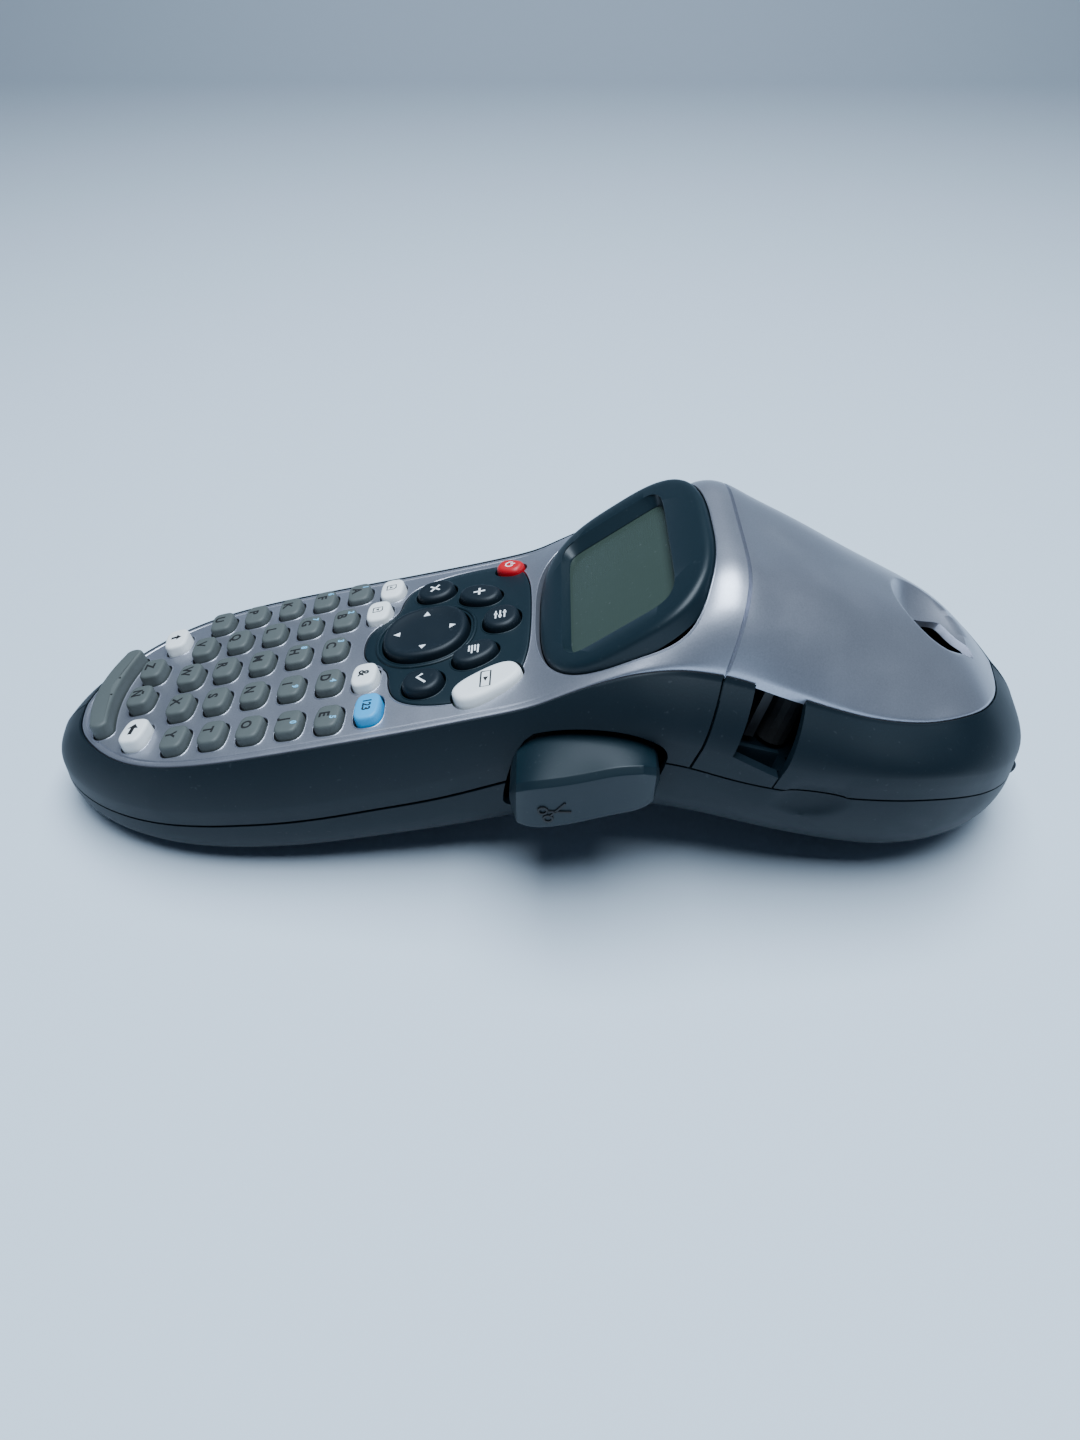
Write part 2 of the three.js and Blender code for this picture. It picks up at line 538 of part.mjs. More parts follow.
const leverRows = LEVER.map(({ x, top, ridge, foot }) => [
  [x, LEVER_ROOT, top - 0.4], [x, -31.5, top], [x, -ridge[0] + 0.8, ridge[1] + 0.6], [x, -ridge[0], ridge[1] - 0.8],
  [x, -foot[0], foot[1] + 1.2], [x, -foot[0] + 1.4, foot[1]], [x, LEVER_ROOT, foot[1] + 0.6],
]);
const lever = capX(leverRows).intersect(leverHoleInner());
addMesh("cutter_lever", lever, 0x33424e);

// Rings at constant X, closed by flat ends.
function capX(rows) {
  const m = rows[0].length;
  const triangles = [];
  for (let i = 0; i + 1 < rows.length; i++) {
    for (let j = 0; j < m; j++) {
      const k = (j + 1) % m;
      triangles.push([i * m + j, i * m + k, (i + 1) * m + k], [i * m + j, (i + 1) * m + k, (i + 1) * m + j]);
    }
  }
  const last = (rows.length - 1) * m;
  for (let j = 1; j + 1 < m; j++) {
    triangles.push([0, j + 1, j], [last, last + j, last + j + 1]);
  }
  return manifoldOf(rows.flat(), triangles);
}

// The lever keeps inside its cut-out where it passes the wall.
function leverHoleInner() {
  const c = [110, 31];
  const small = LEVER_HOLE.map(([x, z]) => [c[0] + (x - c[0]) * 0.955, c[1] + (z - c[1]) * 0.935]);
  return sidePrism(small, -37.6, -20).add(box(90, 130, -60, -37.6, 0, 60));
}

// Steel blade on its carrier, just inside the tape slot.
addMesh("cutter_blade", box(127, 133, -27.6, -24.4, 36, 41).add(box(132, 138.2, -26.2, -25.6, 34.6, 44.6)), 0xb0b4b8,
  unit, 0.3, 0.9);

// ---- tape, print head and drive ----
let tape = inBay(superEllipse(0, 0, 20.5, 22.3, 4.2, 16), -6.6, 5.8);
tape = tape.subtract(inBay(rectangle(-24, -11.5, -30, -17), -10, 10));
addMesh("tape_cassette", tape, 0x2c2f33);
addMesh("print_head", inBay(rectangle(-22.6, -20.8, -25.2, -18.4), -5.6, 5.6), 0x8d8f92, unit, 0.4, 0.6);

// Spur gear outline: straight-sided teeth, thinner than the gaps.
function gearOutline(cx, cy, pitchR, teeth, turn) {
  const out = [];
  for (let i = 0; i < teeth; i++) {
    for (const [part, r] of [[-0.3, pitchR - 0.75], [-0.13, pitchR + 0.5], [0.13, pitchR + 0.5], [0.3, pitchR - 0.75]]) {
      const u = turn + (i + part) / teeth * 2 * Math.PI;
      out.push([cx + r * Math.cos(u), cy + r * Math.sin(u)]);
    }
  }
  return out;
}
const centreAngle = Math.atan2(PINION_AT[1] - ROLLER_AT[1], PINION_AT[0] - ROLLER_AT[0]);
const gearSpan = Math.hypot(PINION_AT[1] - ROLLER_AT[1], PINION_AT[0] - ROLLER_AT[0]);
const PINION_TEETH = 10;
const GEAR_TEETH = 20;
const pinionR = gearSpan * PINION_TEETH / (PINION_TEETH + GEAR_TEETH);
let roller = inBay(superEllipse(...ROLLER_AT, 3.2, 3.2, 2, 16), -6, 6);
roller = roller.add(inBay(superEllipse(...ROLLER_AT, 1.3, 1.3, 2, 10), -12, -5.5));
roller = roller.add(inBay(gearOutline(...ROLLER_AT, gearSpan - pinionR, GEAR_TEETH, centreAngle), -11.6, -9.8));
addMesh("platen_roller", roller, 0x33363a);
let pinion = inBay(gearOutline(...PINION_AT, pinionR, PINION_TEETH, centreAngle + Math.PI * (1 + 1 / PINION_TEETH)),
  -11.8, -9.6);
addMesh("drive_pinion", pinion, 0xe0ded6);
addMesh("drive_motor", inBay(superEllipse(...PINION_AT, 6, 6, 2, 14), -24, -12.4), 0x9a9da0, unit, 0.4, 0.8);

// ---- circuit board under the keys ----
const board = prism(superEllipse(9, 0, 37, 21.5, 5, 16), BOARD_H - 1.5, BOARD_H, plateMatrix).intersect(body(WALL + 0.5));
addMesh("main_board", board, 0x2c6a45);

export default root;
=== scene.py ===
import json
import math

import bmesh
import bpy
import numpy as np
from mathutils import Matrix, Vector

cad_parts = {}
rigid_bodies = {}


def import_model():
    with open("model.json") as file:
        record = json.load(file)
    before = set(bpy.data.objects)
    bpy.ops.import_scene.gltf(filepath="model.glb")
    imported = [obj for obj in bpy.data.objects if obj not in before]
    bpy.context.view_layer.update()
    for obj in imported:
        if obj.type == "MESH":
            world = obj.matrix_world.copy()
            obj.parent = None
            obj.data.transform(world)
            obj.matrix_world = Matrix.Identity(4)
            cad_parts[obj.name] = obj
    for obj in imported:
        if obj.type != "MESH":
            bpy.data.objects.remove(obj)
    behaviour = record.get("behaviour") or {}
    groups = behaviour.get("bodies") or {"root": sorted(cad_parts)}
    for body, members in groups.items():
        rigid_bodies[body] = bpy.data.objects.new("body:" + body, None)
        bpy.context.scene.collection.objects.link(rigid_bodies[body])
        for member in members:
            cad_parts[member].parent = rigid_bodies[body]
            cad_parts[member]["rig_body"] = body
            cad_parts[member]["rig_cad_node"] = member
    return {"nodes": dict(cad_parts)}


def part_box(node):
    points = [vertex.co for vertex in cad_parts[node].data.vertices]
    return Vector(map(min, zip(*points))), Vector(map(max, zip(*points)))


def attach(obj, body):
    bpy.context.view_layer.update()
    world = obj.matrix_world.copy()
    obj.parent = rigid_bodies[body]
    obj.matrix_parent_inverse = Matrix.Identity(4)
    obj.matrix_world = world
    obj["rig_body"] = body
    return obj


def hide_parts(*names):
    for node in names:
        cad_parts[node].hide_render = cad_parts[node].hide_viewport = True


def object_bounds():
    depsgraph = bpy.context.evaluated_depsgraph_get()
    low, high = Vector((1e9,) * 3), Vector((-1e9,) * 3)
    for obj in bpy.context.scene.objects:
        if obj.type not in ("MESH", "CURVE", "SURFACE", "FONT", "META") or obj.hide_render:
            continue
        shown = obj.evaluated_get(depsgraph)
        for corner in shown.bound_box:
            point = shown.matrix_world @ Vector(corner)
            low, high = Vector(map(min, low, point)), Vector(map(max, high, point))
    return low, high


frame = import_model()
cad_low, cad_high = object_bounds()

# ---- the maker's own measures, in millimetres along the handle (x), across (y) and up (z) ----
MM = 0.001
TAIL_X = cad_low.x
SPINE_Y = (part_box("rear_housing")[0].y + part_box("rear_housing")[1].y) / 2
PLATE_TILT = math.radians(12.64)
PLATE_AT = np.array([45.48, 0, 28.97])
DISPLAY_TILT = math.radians(35.7)
DISPLAY_AT = np.array([117.06, 0, 52.54])
LID_HINGE = (198, 13.8)
WALL = 2.0
BELLY_WALL = 1.8
GAP = 0.3
HOLE_GAP = 0.42
FINE_BEAD = 0.17
SPREAD = 0.011
EDGE_INSET = 0.6
HALF = 27.0

# Control curves: plan outline of the plate and of the body, and the heights along them.
PLATE_RIM = [[5.8, 0], [6.3, 4], [7, 7], [8.7, 10.3], [11.2, 13.7], [15, 17.7], [18.7, 20.8],
             [23.7, 23.8], [29.6, 26], [36.2, 27.3], [45, 28], [57.5, 28.2], [76, 28.1], [91, 27.9],
             [101, 27.9], [113, 28.3], [126, 28.7], [138, 29.1], [148, 29.5], [161, 29], [168, 28.2],
             [174, 26.8], [179.7, 24.6], [185, 21], [189.2, 15.5], [192.2, 9], [193.9, 0]]
RIM_Z = [[5.8, 19.5], [45, 28.3], [91, 38.9], [101, 41.7], [107, 44.6], [113.8, 47.6], [120, 49.4],
         [126, 50], [134, 48.9], [139.5, 47.4], [148.5, 44.5], [154.3, 42.4], [161, 40.2],
         [168, 38.6], [174, 37.6], [180, 37], [185, 36], [189.2, 34.3], [192, 32.8], [193.9, 31.8]]
TOP_Z = [[5.8, 19.6], [45, 30.0], [96, 41.6], [100, 42.6], [104, 44.3], [108, 46.4], [117, 52.5],
         [130, 61.84], [133, 63.7], [136, 64.3], [139, 63.7], [143.4, 61.6], [155, 56.5], [166, 51],
         [176.6, 45.6], [183.4, 41.3], [190.4, 35.4], [193.9, 31.8]]
CROWN = [[5.8, 2], [92, 2], [101, 3], [110, 6], [136, 6], [146, 4.6], [165, 3], [193.9, 2]]
WIDE = [[0, 0], [0.8, 5], [2.8, 10], [6, 14.5], [10.2, 18.6], [15.6, 22.4], [23, 26], [32, 28.8],
        [42, 30.3], [55, 30.8], [75, 30.4], [92, 30.2], [103, 31], [115, 32.7], [130, 34.9],
        [145, 36], [157, 36.3], [168, 35.8], [176, 34], [183, 30.8], [190, 25.3], [196, 17.5],
        [199.8, 9.5], [201.5, 0]]
SEAM_Z = [[0, 9.6], [10, 10], [24, 11.2], [33, 12.4], [43, 13.8], [52, 14.9], [62, 16.6],
          [71, 18.6], [81, 20.8], [90, 23.6], [96, 26], [105, 29.6], [115, 33], [122, 34.4],
          [128, 33.9], [136, 31.5], [144.5, 29.6], [157, 27.8], [165, 27], [172, 26.3], [179, 24.8],
          [188, 21.4], [198, 16], [201.5, 13.8]]
WIDE_RISE = [[0, 3.2], [40, 3.6], [95, 4.2], [125, 5.5], [201.5, 5.5]]
BELLY_Z = [[13, 3.2], [20, 1.2], [30, -0.1], [40, -0.35], [50, 0.1], [60, 1.1], [75, 3.6], [89, 6.4],
           [105, 9.6], [118, 10.8], [130, 9.4], [143, 5.2], [155, 1.5], [163, -0.4], [170, -0.8],
           [177, -0.1], [184, 2.4], [189, 5.1]]
BELLY_POWER = [[0, 3.0], [90, 3.1], [125, 2.4], [201, 2.3]]


def place(points):
    """Local millimetres to the row frame in metres."""
    p = np.asarray(points, float)
    return p * MM + np.array([TAIL_X, SPINE_Y, 0.0])


def local(point):
    """Row frame in metres to local millimetres."""
    return (np.array(point, float) - np.array([TAIL_X, SPINE_Y, 0.0])) / MM


# ---- smooth curves ----
def along(points, x):
    """Piecewise cubic through the control points, with no overshoot."""
    px, py = np.array(points, float).T
    chord = np.diff(py) / np.diff(px)
    slope = np.empty_like(px)
    slope[0], slope[-1] = chord[0], chord[-1]
    product = chord[:-1] * chord[1:]
    total = chord[:-1] + chord[1:]
    slope[1:-1] = np.where(product > 0, 2 * product / np.where(total == 0, 1, total), 0)
    x = np.clip(np.asarray(x, float), px[0], px[-1])
    i = np.clip(np.searchsorted(px, x, side="right") - 1, 0, len(px) - 2)
    h = px[i + 1] - px[i]
    t = (x - px[i]) / h
    return ((2 * t**3 - 3 * t**2 + 1) * py[i] + (t**3 - 2 * t**2 + t) * h * slope[i]
            + (3 * t**2 - 2 * t**3) * py[i + 1] + (t**3 - t**2) * h * slope[i + 1])


def blurred(values, sigma, odd=False):
    """Gaussian blur of evenly spaced values; odd ones pass through zero at both ends."""
    reach = int(4 * sigma)
    kernel = np.exp(-0.5 * (np.arange(-reach, reach + 1) / sigma) ** 2)
    kernel /= kernel.sum()
    sign = -1 if odd else 1
    before, after = values[1:reach + 1][::-1], values[-reach - 1:-1][::-1]
    padded = np.concatenate([sign * before, values, sign * after])
    return np.convolve(padded, kernel, mode="valid")


SAMPLES = 2001
TURN = np.linspace(0, 1, SAMPLES)


def span_x(points):
    """X along a closed outline's half, from one blunt end to the other."""
    a, b = points[0][0], points[-1][0]
    return a + (b - a) * (1 - np.cos(np.pi * TURN)) / 2


SIGMA = SPREAD * SAMPLES
RIM = {"x": span_x(PLATE_RIM)}
RIM["y"] = blurred(along(PLATE_RIM, RIM["x"]), SIGMA, odd=True)
EVEN_X = np.linspace(0, 201.5, 2016)
TOP_LINE = blurred(along(TOP_Z, EVEN_X), 14)
RIM_LINE = np.minimum(blurred(along(RIM_Z, EVEN_X), 14), TOP_LINE)
CROWN_LINE = blurred(along(CROWN, EVEN_X), 25)
BODY = {"x": span_x(WIDE)}
BODY["y"] = blurred(along(WIDE, BODY["x"]), SIGMA, odd=True)
BODY["seam"] = blurred(along(SEAM_Z, BODY["x"]), SIGMA)
BODY["wide"] = BODY["seam"] + blurred(along(WIDE_RISE, BODY["x"]), SIGMA)
BELLY = {"x": span_x(BELLY_Z)}
BELLY["z"] = blurred(along(BELLY_Z, BELLY["x"]), SIGMA)
BELLY["power"] = along(BELLY_POWER, BELLY["x"])
SPINE_X = np.clip(RIM["x"], 30, 172)


def top_z(x, y):
    """Height of the silver skin."""
    top = np.interp(x, EVEN_X, TOP_LINE)
    rim = np.interp(x, EVEN_X, RIM_LINE)
    half = np.maximum(np.interp(x, RIM["x"], RIM["y"]), 1e-3)
    q = np.clip(np.abs(y) / half, 0, 1)
    return top - (top - rim) * q ** np.interp(x, EVEN_X, CROWN_LINE)


def surface(u, v):
    """Point of the body: u runs from tail to nose, v from the spine (0) over the plate's rim (1),
    the widest line (2) and the seam (3) to the middle of the belly (4). A negative v is the -Y side."""
    side = np.where(v < 0, -1.0, 1.0)
    v = np.abs(v)
    at = lambda values: np.interp(u, TURN, values)
    rx, ry = at(RIM["x"]), at(RIM["y"])
    wx, wy, wz, sz = at(BODY["x"]), at(BODY["y"]), at(BODY["wide"]), at(BODY["seam"])
    sy = wy * (1 - 0.55 / 36)
    bx, bz, power = at(BELLY["x"]), at(BELLY["z"]), at(BELLY["power"])
    q = np.clip(v, 0, 1)
    x = at(SPINE_X) + (rx - at(SPINE_X)) * q
    y = ry * q
    z = top_z(x, y)
    a = np.clip(v - 1, 0, 1)
    w = 1 - (1 - a) ** 1.7
    beyond = v > 1
    x = np.where(beyond, rx + (wx - rx) * w, x)
    y = np.where(beyond, ry + (wy - ry) * w, y)
    rz = top_z(rx, ry)
    z = np.where(beyond, rz + (wz - rz) * a, z)
    b = np.clip(v - 2, 0, 1)
    z = np.where(v > 2, wz + (sz - wz) * b, z)
    y = np.where(v > 2, wy + (sy - wy) * b, y)
    c = np.clip(v - 3, 0, 1) * math.pi / 2
    cos = np.maximum(np.cos(c), 0) ** (2 / power)
    sin = np.sin(c) ** (2 / power)
    below = v > 3
    x = np.where(below, wx + (bx - wx) * (1 - cos), x)
    y = np.where(below, sy * cos, y)
    z = np.where(below, np.maximum(sz + (bz - sz) * sin, 0), z)
    return np.stack([x, y * side, z], -1)


def lid_front(p, shift=0.0):
    """Signed distance along X from the leaning joint between display housing and lid."""
    return p[..., 0] - (139 + 0.32 * (p[..., 2] - 63)) - shift


def cheek_edge(p, shift=0.0):
    """Signed distance along X from the lid skirt's front edge."""
    return p[..., 0] - (144.3 + 0.325 * (p[..., 2] - 30.2)) - shift


def crossing(v, distance, shift):
    """For each v, the u where the surface crosses a plane."""
    u = np.linspace(0.3, 0.95, 1301)
    found = []
    for value in v:
        d = distance(surface(u, np.full_like(u, value)), shift)
        i = int(np.argmax(d > 0))
        found.append(u[i - 1] + (u[i] - u[i - 1]) * -d[i - 1] / (d[i] - d[i - 1]))
    return np.array(found)


def grid(v, low, high, steps):
    """Rows of surface points for each v, between two u limits."""
    w = np.linspace(0, 1, steps)
    u = low[:, None] + (high - low)[:, None] * w[None, :]
    return surface(u, np.repeat(v[:, None], steps, 1))


# ---- mesh helpers ----
def quads(rows, columns, wrap=False, start=0):
    faces = []
    for i in range(rows - 1):
        for j in range(columns if wrap else columns - 1):
            k = (j + 1) % columns
            faces.append((start + i * columns + j, start + i * columns + k,
                          start + (i + 1) * columns + k, start + (i + 1) * columns + j))
    return faces


def linked(name, data):
    made = bpy.data.objects.new(name, data)
    bpy.context.scene.collection.objects.link(made)
    return made


def mesh_object(name, points, faces, material=None, metres=False):
    mesh = bpy.data.meshes.new(name)
    mesh.from_pydata([tuple(p) for p in (points if metres else place(points))], [], faces)
    if material:
        mesh.materials.append(material)
    return linked(name, mesh)


def cleaned(made, distance=0.02, outward=None):
    """Merges doubles and turns the faces one way; outward is a point inside an open sheet."""
    bm = bmesh.new()
    bm.from_mesh(made.data)
    bmesh.ops.remove_doubles(bm, verts=bm.verts, dist=distance * MM)
    bmesh.ops.dissolve_degenerate(bm, edges=bm.edges, dist=1e-7)
    bmesh.ops.recalc_face_normals(bm, faces=bm.faces)
    if outward is not None:
        centre = Vector(place(outward))
        facing = sum(f.normal.dot(f.calc_center_median() - centre) * f.calc_area() for f in bm.faces)
        if facing < 0:
            bmesh.ops.reverse_faces(bm, faces=bm.faces)
    bm.to_mesh(made.data)
    bm.free()
    return made


def finished(made):
    """The object with its modifiers applied."""
    bpy.context.view_layer.update()
    graph = bpy.context.evaluated_depsgraph_get()
    mesh = bpy.data.meshes.new_from_object(made.evaluated_get(graph))
    made.modifiers.clear()
    made.data = mesh
    return made


def solid_sheet(name, points, faces, moved, material):
    """Closed solid between a sheet and its moved copy, in local millimetres."""
    n = len(points)
    used = {(a, b) for f in faces for a, b in zip(f, f[1:] + f[:1])}
    rim = [(b, a, a + n, b + n) for a, b in used if (b, a) not in used]
    back = [tuple(i + n for i in f[::-1]) for f in faces]
    both = np.concatenate([points, moved])
    return cleaned(mesh_object(name, both, faces + back + rim, material), 0.0005)


def shelled(made, shift):
    """The sheet as a wall, its inner face moved by shift(points)."""
    points = np.array([local(v.co) for v in made.data.vertices])
    faces = [tuple(p.vertices) for p in made.data.polygons]
    finish = made.data.materials[0]
    bpy.data.objects.remove(made)
    return solid_sheet("wall", points, faces, points + shift(points), finish)


def sinking(direction, thickness):
    return lambda p: -np.array(direction) * thickness


def inwards(thickness):
    """Level shift towards the object's middle line."""
    def shift(p):
        d = p * np.array([1, 1, 0])
        d[:, 0] -= np.clip(p[:, 0], 30, 172)
        return -thickness * d / np.linalg.norm(d, axis=1)[:, None]
    return shift


def wall(sheet, finish, middle, shift):
    """Wall on a (points, faces) sheet, whose outer face looks away from a middle point."""
    return shelled(cleaned(mesh_object("sheet", *sheet, finish), outward=middle), shift)


def boolean(made, cutter, operation="DIFFERENCE"):
    mod = made.modifiers.new("cut", "BOOLEAN")
    mod.operation = operation
    mod.solver = "EXACT"
    mod.object = cutter
    finished(made)
    bpy.data.objects.remove(cutter)
    return made


def smooth(made, angle=32):
    made.data.shade_smooth()
    made.data.set_sharp_from_angle(angle=math.radians(angle))
    return made


def joined(name, parts):
    bm = bmesh.new()
    materials = []
    for part in parts:
        offset = len(bm.faces)
        index = []
        for m in part.data.materials:
            if m not in materials:
                materials.append(m)
            index.append(materials.index(m))
        bm.from_mesh(part.data)
        bm.faces.ensure_lookup_table()
        for face in bm.faces[offset:]:
            face.material_index = index[face.material_index] if index else 0
    mesh = bpy.data.meshes.new(name)
    bm.to_mesh(mesh)
    bm.free()
    for m in materials:
        mesh.materials.append(m)
    for part in parts:
        bpy.data.objects.remove(part)
    return linked(name, mesh)


def keep(made, body, slot, *nodes):
    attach(made, body)
    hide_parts(*nodes)


def super_ellipse(a, b, power, n, turn=0.0, centre=(0, 0)):
    u = np.linspace(0, 2 * np.pi, n, endpoint=False) + np.pi / n
    c, s = np.cos(u), np.sin(u)
    x = a * np.sign(c) * np.abs(c) ** (2 / power)
    y = b * np.sign(s) * np.abs(s) ** (2 / power)
    return np.stack([centre[0] + x * math.cos(turn) - y * math.sin(turn),
                     centre[1] + x * math.sin(turn) + y * math.cos(turn)], -1)


def grown(outline, by):
    """An outline, walked counter-clockwise, moved outwards along its own normals."""
    ahead, behind = np.roll(outline, -1, 0), np.roll(outline, 1, 0)
    t = ahead - behind
    t /= np.linalg.norm(t, axis=1)[:, None]
    return outline + np.stack([t[:, 1], -t[:, 0]], -1) * by


def rounded(corners, passes=3):
    """A closed smooth outline through a given polygon."""
    p = np.array(corners, float)
    for _ in range(passes):
        q = 0.75 * p + 0.25 * np.roll(p, -1, 0)
        r = 0.25 * p + 0.75 * np.roll(p, -1, 0)
        p = np.stack([q, r], 1).reshape(-1, 2)
    return p


def tilted(s, y, h, tilt=PLATE_TILT, at=PLATE_AT):
    """Slope distance, across and height over a leaning plane, to local millimetres."""
    s, y, h = np.broadcast_arrays(np.asarray(s, float), y, h)
    return np.stack([at[0] + s * math.cos(tilt) - h * math.sin(tilt), y,
                     at[2] + s * math.sin(tilt) + h * math.cos(tilt)], -1)


def ring_stack(name, rings, material, around=False):
    """Skin over rings of equal length in local millimetres, capped, or led round to the first ring."""
    n = len(rings[0])
    points = np.concatenate(rings)
    faces = quads(len(rings), n, wrap=True)
    if around:
        last = (len(rings) - 1) * n
        faces += [(last + j, last + (j + 1) % n, (j + 1) % n, j) for j in range(n)]
    else:
        faces.append(tuple(range(n))[::-1])
        faces.append(tuple(range((len(rings) - 1) * n, len(rings) * n)))
    return cleaned(mesh_object(name, points, faces, material), 0.002)


def prism(outline, low, high, tilt=PLATE_TILT, at=PLATE_AT):
    """Cutter through a leaning plane."""
    rings = [tilted(outline[:, 0], outline[:, 1], h, tilt, at) for h in (low, high)]
    return ring_stack("cutter", rings, None)


def block(x, y, z):
    corners = [(a, b, c) for a in x for b in y for c in z]
    faces = [(0, 1, 3, 2), (4, 6, 7, 5), (0, 4, 5, 1), (2, 3, 7, 6), (0, 2, 6, 4), (1, 5, 7, 3)]
    return cleaned(mesh_object("block", corners, faces))


def side_prism(outline, y0, y1):
    """Prism of an [x, z] outline along Y."""
    rings = [[(x, y, z) for x, z in outline] for y in (y0, y1)]
    return ring_stack("cutter", [np.array(r, float) for r in rings], None)


# ---- materials ----
def set_inputs(node, values):
    for label, value in values.items():
        node.inputs[label].default_value = value


def shader_group(name, inputs, outputs):
    """Node group with the given inputs and outputs: Color is a colour, the rest are single values."""
    group = bpy.data.node_groups.new(name, "ShaderNodeTree")
    kind = lambda label: "NodeSocketColor" if label == "Color" else "NodeSocketFloat"
    for label, value in inputs.items():
        socket = group.interface.new_socket(label, in_out="INPUT", socket_type=kind(label))
        socket.default_value = value
    for label in outputs:
        group.interface.new_socket(label, in_out="OUTPUT", socket_type=kind(label))
    return group, group.nodes.new("NodeGroupInput").outputs, group.nodes.new("NodeGroupOutput").inputs


def feed(tree, value, socket):
    """Sets a number on a socket, or links an output to it."""
    if isinstance(value, (int, float)):
        socket.default_value = value
    else:
        tree.links.new(value, socket)


def math_node(tree, operation, a, b, clamp=False):
    node = tree.nodes.new("ShaderNodeMath")
    node.operation = operation
    node.use_clamp = clamp
    feed(tree, a, node.inputs[0])
    feed(tree, b, node.inputs[1])
    return node.outputs[0]


def beyond(tree, value, middle, gain, clamp=False):
    """How far a value lies over its middle, times a gain."""
    return math_node(tree, "MULTIPLY", math_node(tree, "SUBTRACT", value, middle), gain, clamp)


def noise_node(tree, vector, scale, detail):
    node = tree.nodes.new("ShaderNodeTexNoise")
    node.inputs["Detail"].default_value = detail
    tree.links.new(vector, node.inputs["Vector"])
    feed(tree, scale, node.inputs["Scale"])
    return node.outputs["Fac"]


def moulded_grain_group():
    """Fine grain and broad drift of tone and gloss, as on textured mouldings and sprayed paint."""
    group, given, out = shader_group(
        "moulded_grain",
        {"Color": (0.5, 0.5, 0.5, 1), "Tone": 0.1, "Scale": 2500.0, "Gloss": 0.45, "Gloss Spread": 0.08},
        ("Color", "Roughness", "Height"))
    coords = group.nodes.new("ShaderNodeTexCoord").outputs["Object"]
    fine = noise_node(group, coords, given["Scale"], 1.0)
    broad = noise_node(group, coords, 55.0, 3.0)
    speck = math_node(group, "ADD", math_node(group, "SUBTRACT", fine, 0.5), beyond(group, broad, 0.5, 0.6))
    gain = math_node(group, "ADD", math_node(group, "MULTIPLY", speck, given["Tone"]), 1.0)
    shade = group.nodes.new("ShaderNodeVectorMath")
    shade.operation = "SCALE"
    group.links.new(given["Color"], shade.inputs[0])
    group.links.new(gain, shade.inputs["Scale"])
    spread = beyond(group, broad, 0.5, given["Gloss Spread"])
    group.links.new(shade.outputs[0], out["Color"])
    group.links.new(math_node(group, "ADD", given["Gloss"], spread, clamp=True), out["Roughness"])
    group.links.new(fine, out["Height"])
    return group


def handling_group():
    """Faint dust and fingertip smears that change the gloss."""
    group, given, out = shader_group(
        "handling_marks", {"Roughness": 0.4, "Amount": 0.1, "Scale": 90.0}, ("Roughness", "Dust"))
    coords = group.nodes.new("ShaderNodeTexCoord").outputs["Object"]
    smear = beyond(group, noise_node(group, coords, given["Scale"], 5.0), 0.52, 4.0, clamp=True)
    more = math_node(group, "MULTIPLY", smear, given["Amount"])
    dust = beyond(group, noise_node(group, coords, 1400.0, 0.0), 0.77, 9.0, clamp=True)
    group.links.new(math_node(group, "ADD", given["Roughness"], more, clamp=True), out["Roughness"])
    group.links.new(dust, out["Dust"])
    return group


GRAIN = moulded_grain_group()
HANDLING = handling_group()


def material(name, color, gloss, tone=0.12, scale=2500.0, bump=0.15, metallic=0.0, coat=0.0,
             smears=0.06, spread=0.08, dust=0.02, ior=1.5):
    made = bpy.data.materials.new(name)
    made.use_nodes = True
    tree = made.node_tree
    shader = tree.nodes["Principled BSDF"]
    grain = tree.nodes.new("ShaderNodeGroup")
    grain.node_tree = GRAIN
    set_inputs(grain, {"Color": (*color, 1), "Tone": tone, "Scale": scale, "Gloss": gloss,
                       "Gloss Spread": spread})
    marks = tree.nodes.new("ShaderNodeGroup")
    marks.node_tree = HANDLING
    marks.inputs["Amount"].default_value = smears
    dusty = tree.nodes.new("ShaderNodeMix")
    dusty.data_type = "RGBA"
    dusty.inputs["B"].default_value = (0.55, 0.57, 0.6, 1)
    height = tree.nodes.new("ShaderNodeBump")
    set_inputs(height, {"Strength": bump, "Distance": 0.00004})
    set_inputs(shader, {"Metallic": metallic, "Coat Weight": coat, "Coat Roughness": 0.15, "IOR": ior})
    link = tree.links.new
    link(grain.outputs["Roughness"], marks.inputs["Roughness"])
    link(math_node(tree, "MULTIPLY", marks.outputs["Dust"], dust), dusty.inputs["Factor"])
    link(grain.outputs["Color"], dusty.inputs["A"])
    link(dusty.outputs["Result"], shader.inputs["Base Color"])
    link(marks.outputs["Roughness"], shader.inputs["Roughness"])
    link(grain.outputs["Height"], height.inputs["Height"])
    link(height.outputs["Normal"], shader.inputs["Normal"])
    return made


DARK = material("dark_shell", (0.0022, 0.0075, 0.012), 0.5, tone=0.25, scale=2600, bump=0.25, ior=1.33)
DARK_SATIN = material("dark_satin", (0.004, 0.0125, 0.018), 0.4, tone=0.15, scale=2600, bump=0.12, ior=1.38)
SILVER = material("silver_paint", (0.42, 0.43, 0.49), 0.36, tone=0.3, scale=3200, bump=0.2,
                  metallic=0.85, coat=0.1, smears=0.05, dust=0.1)
GREY_KEY = material("letter_rubber", (0.072, 0.083, 0.08), 0.6, tone=0.12, scale=3000, bump=0.2)
WHITE_KEY = material("white_rubber", (0.80, 0.81, 0.80), 0.5, tone=0.04, scale=2500, bump=0.15)
DARK_KEY = material("function_rubber", (0.003, 0.008, 0.013), 0.48, tone=0.2, scale=2600, bump=0.2, ior=1.38)
BLUE_KEY = material("blue_rubber", (0.02, 0.33, 0.66), 0.5, tone=0.08, scale=2600, bump=0.15)
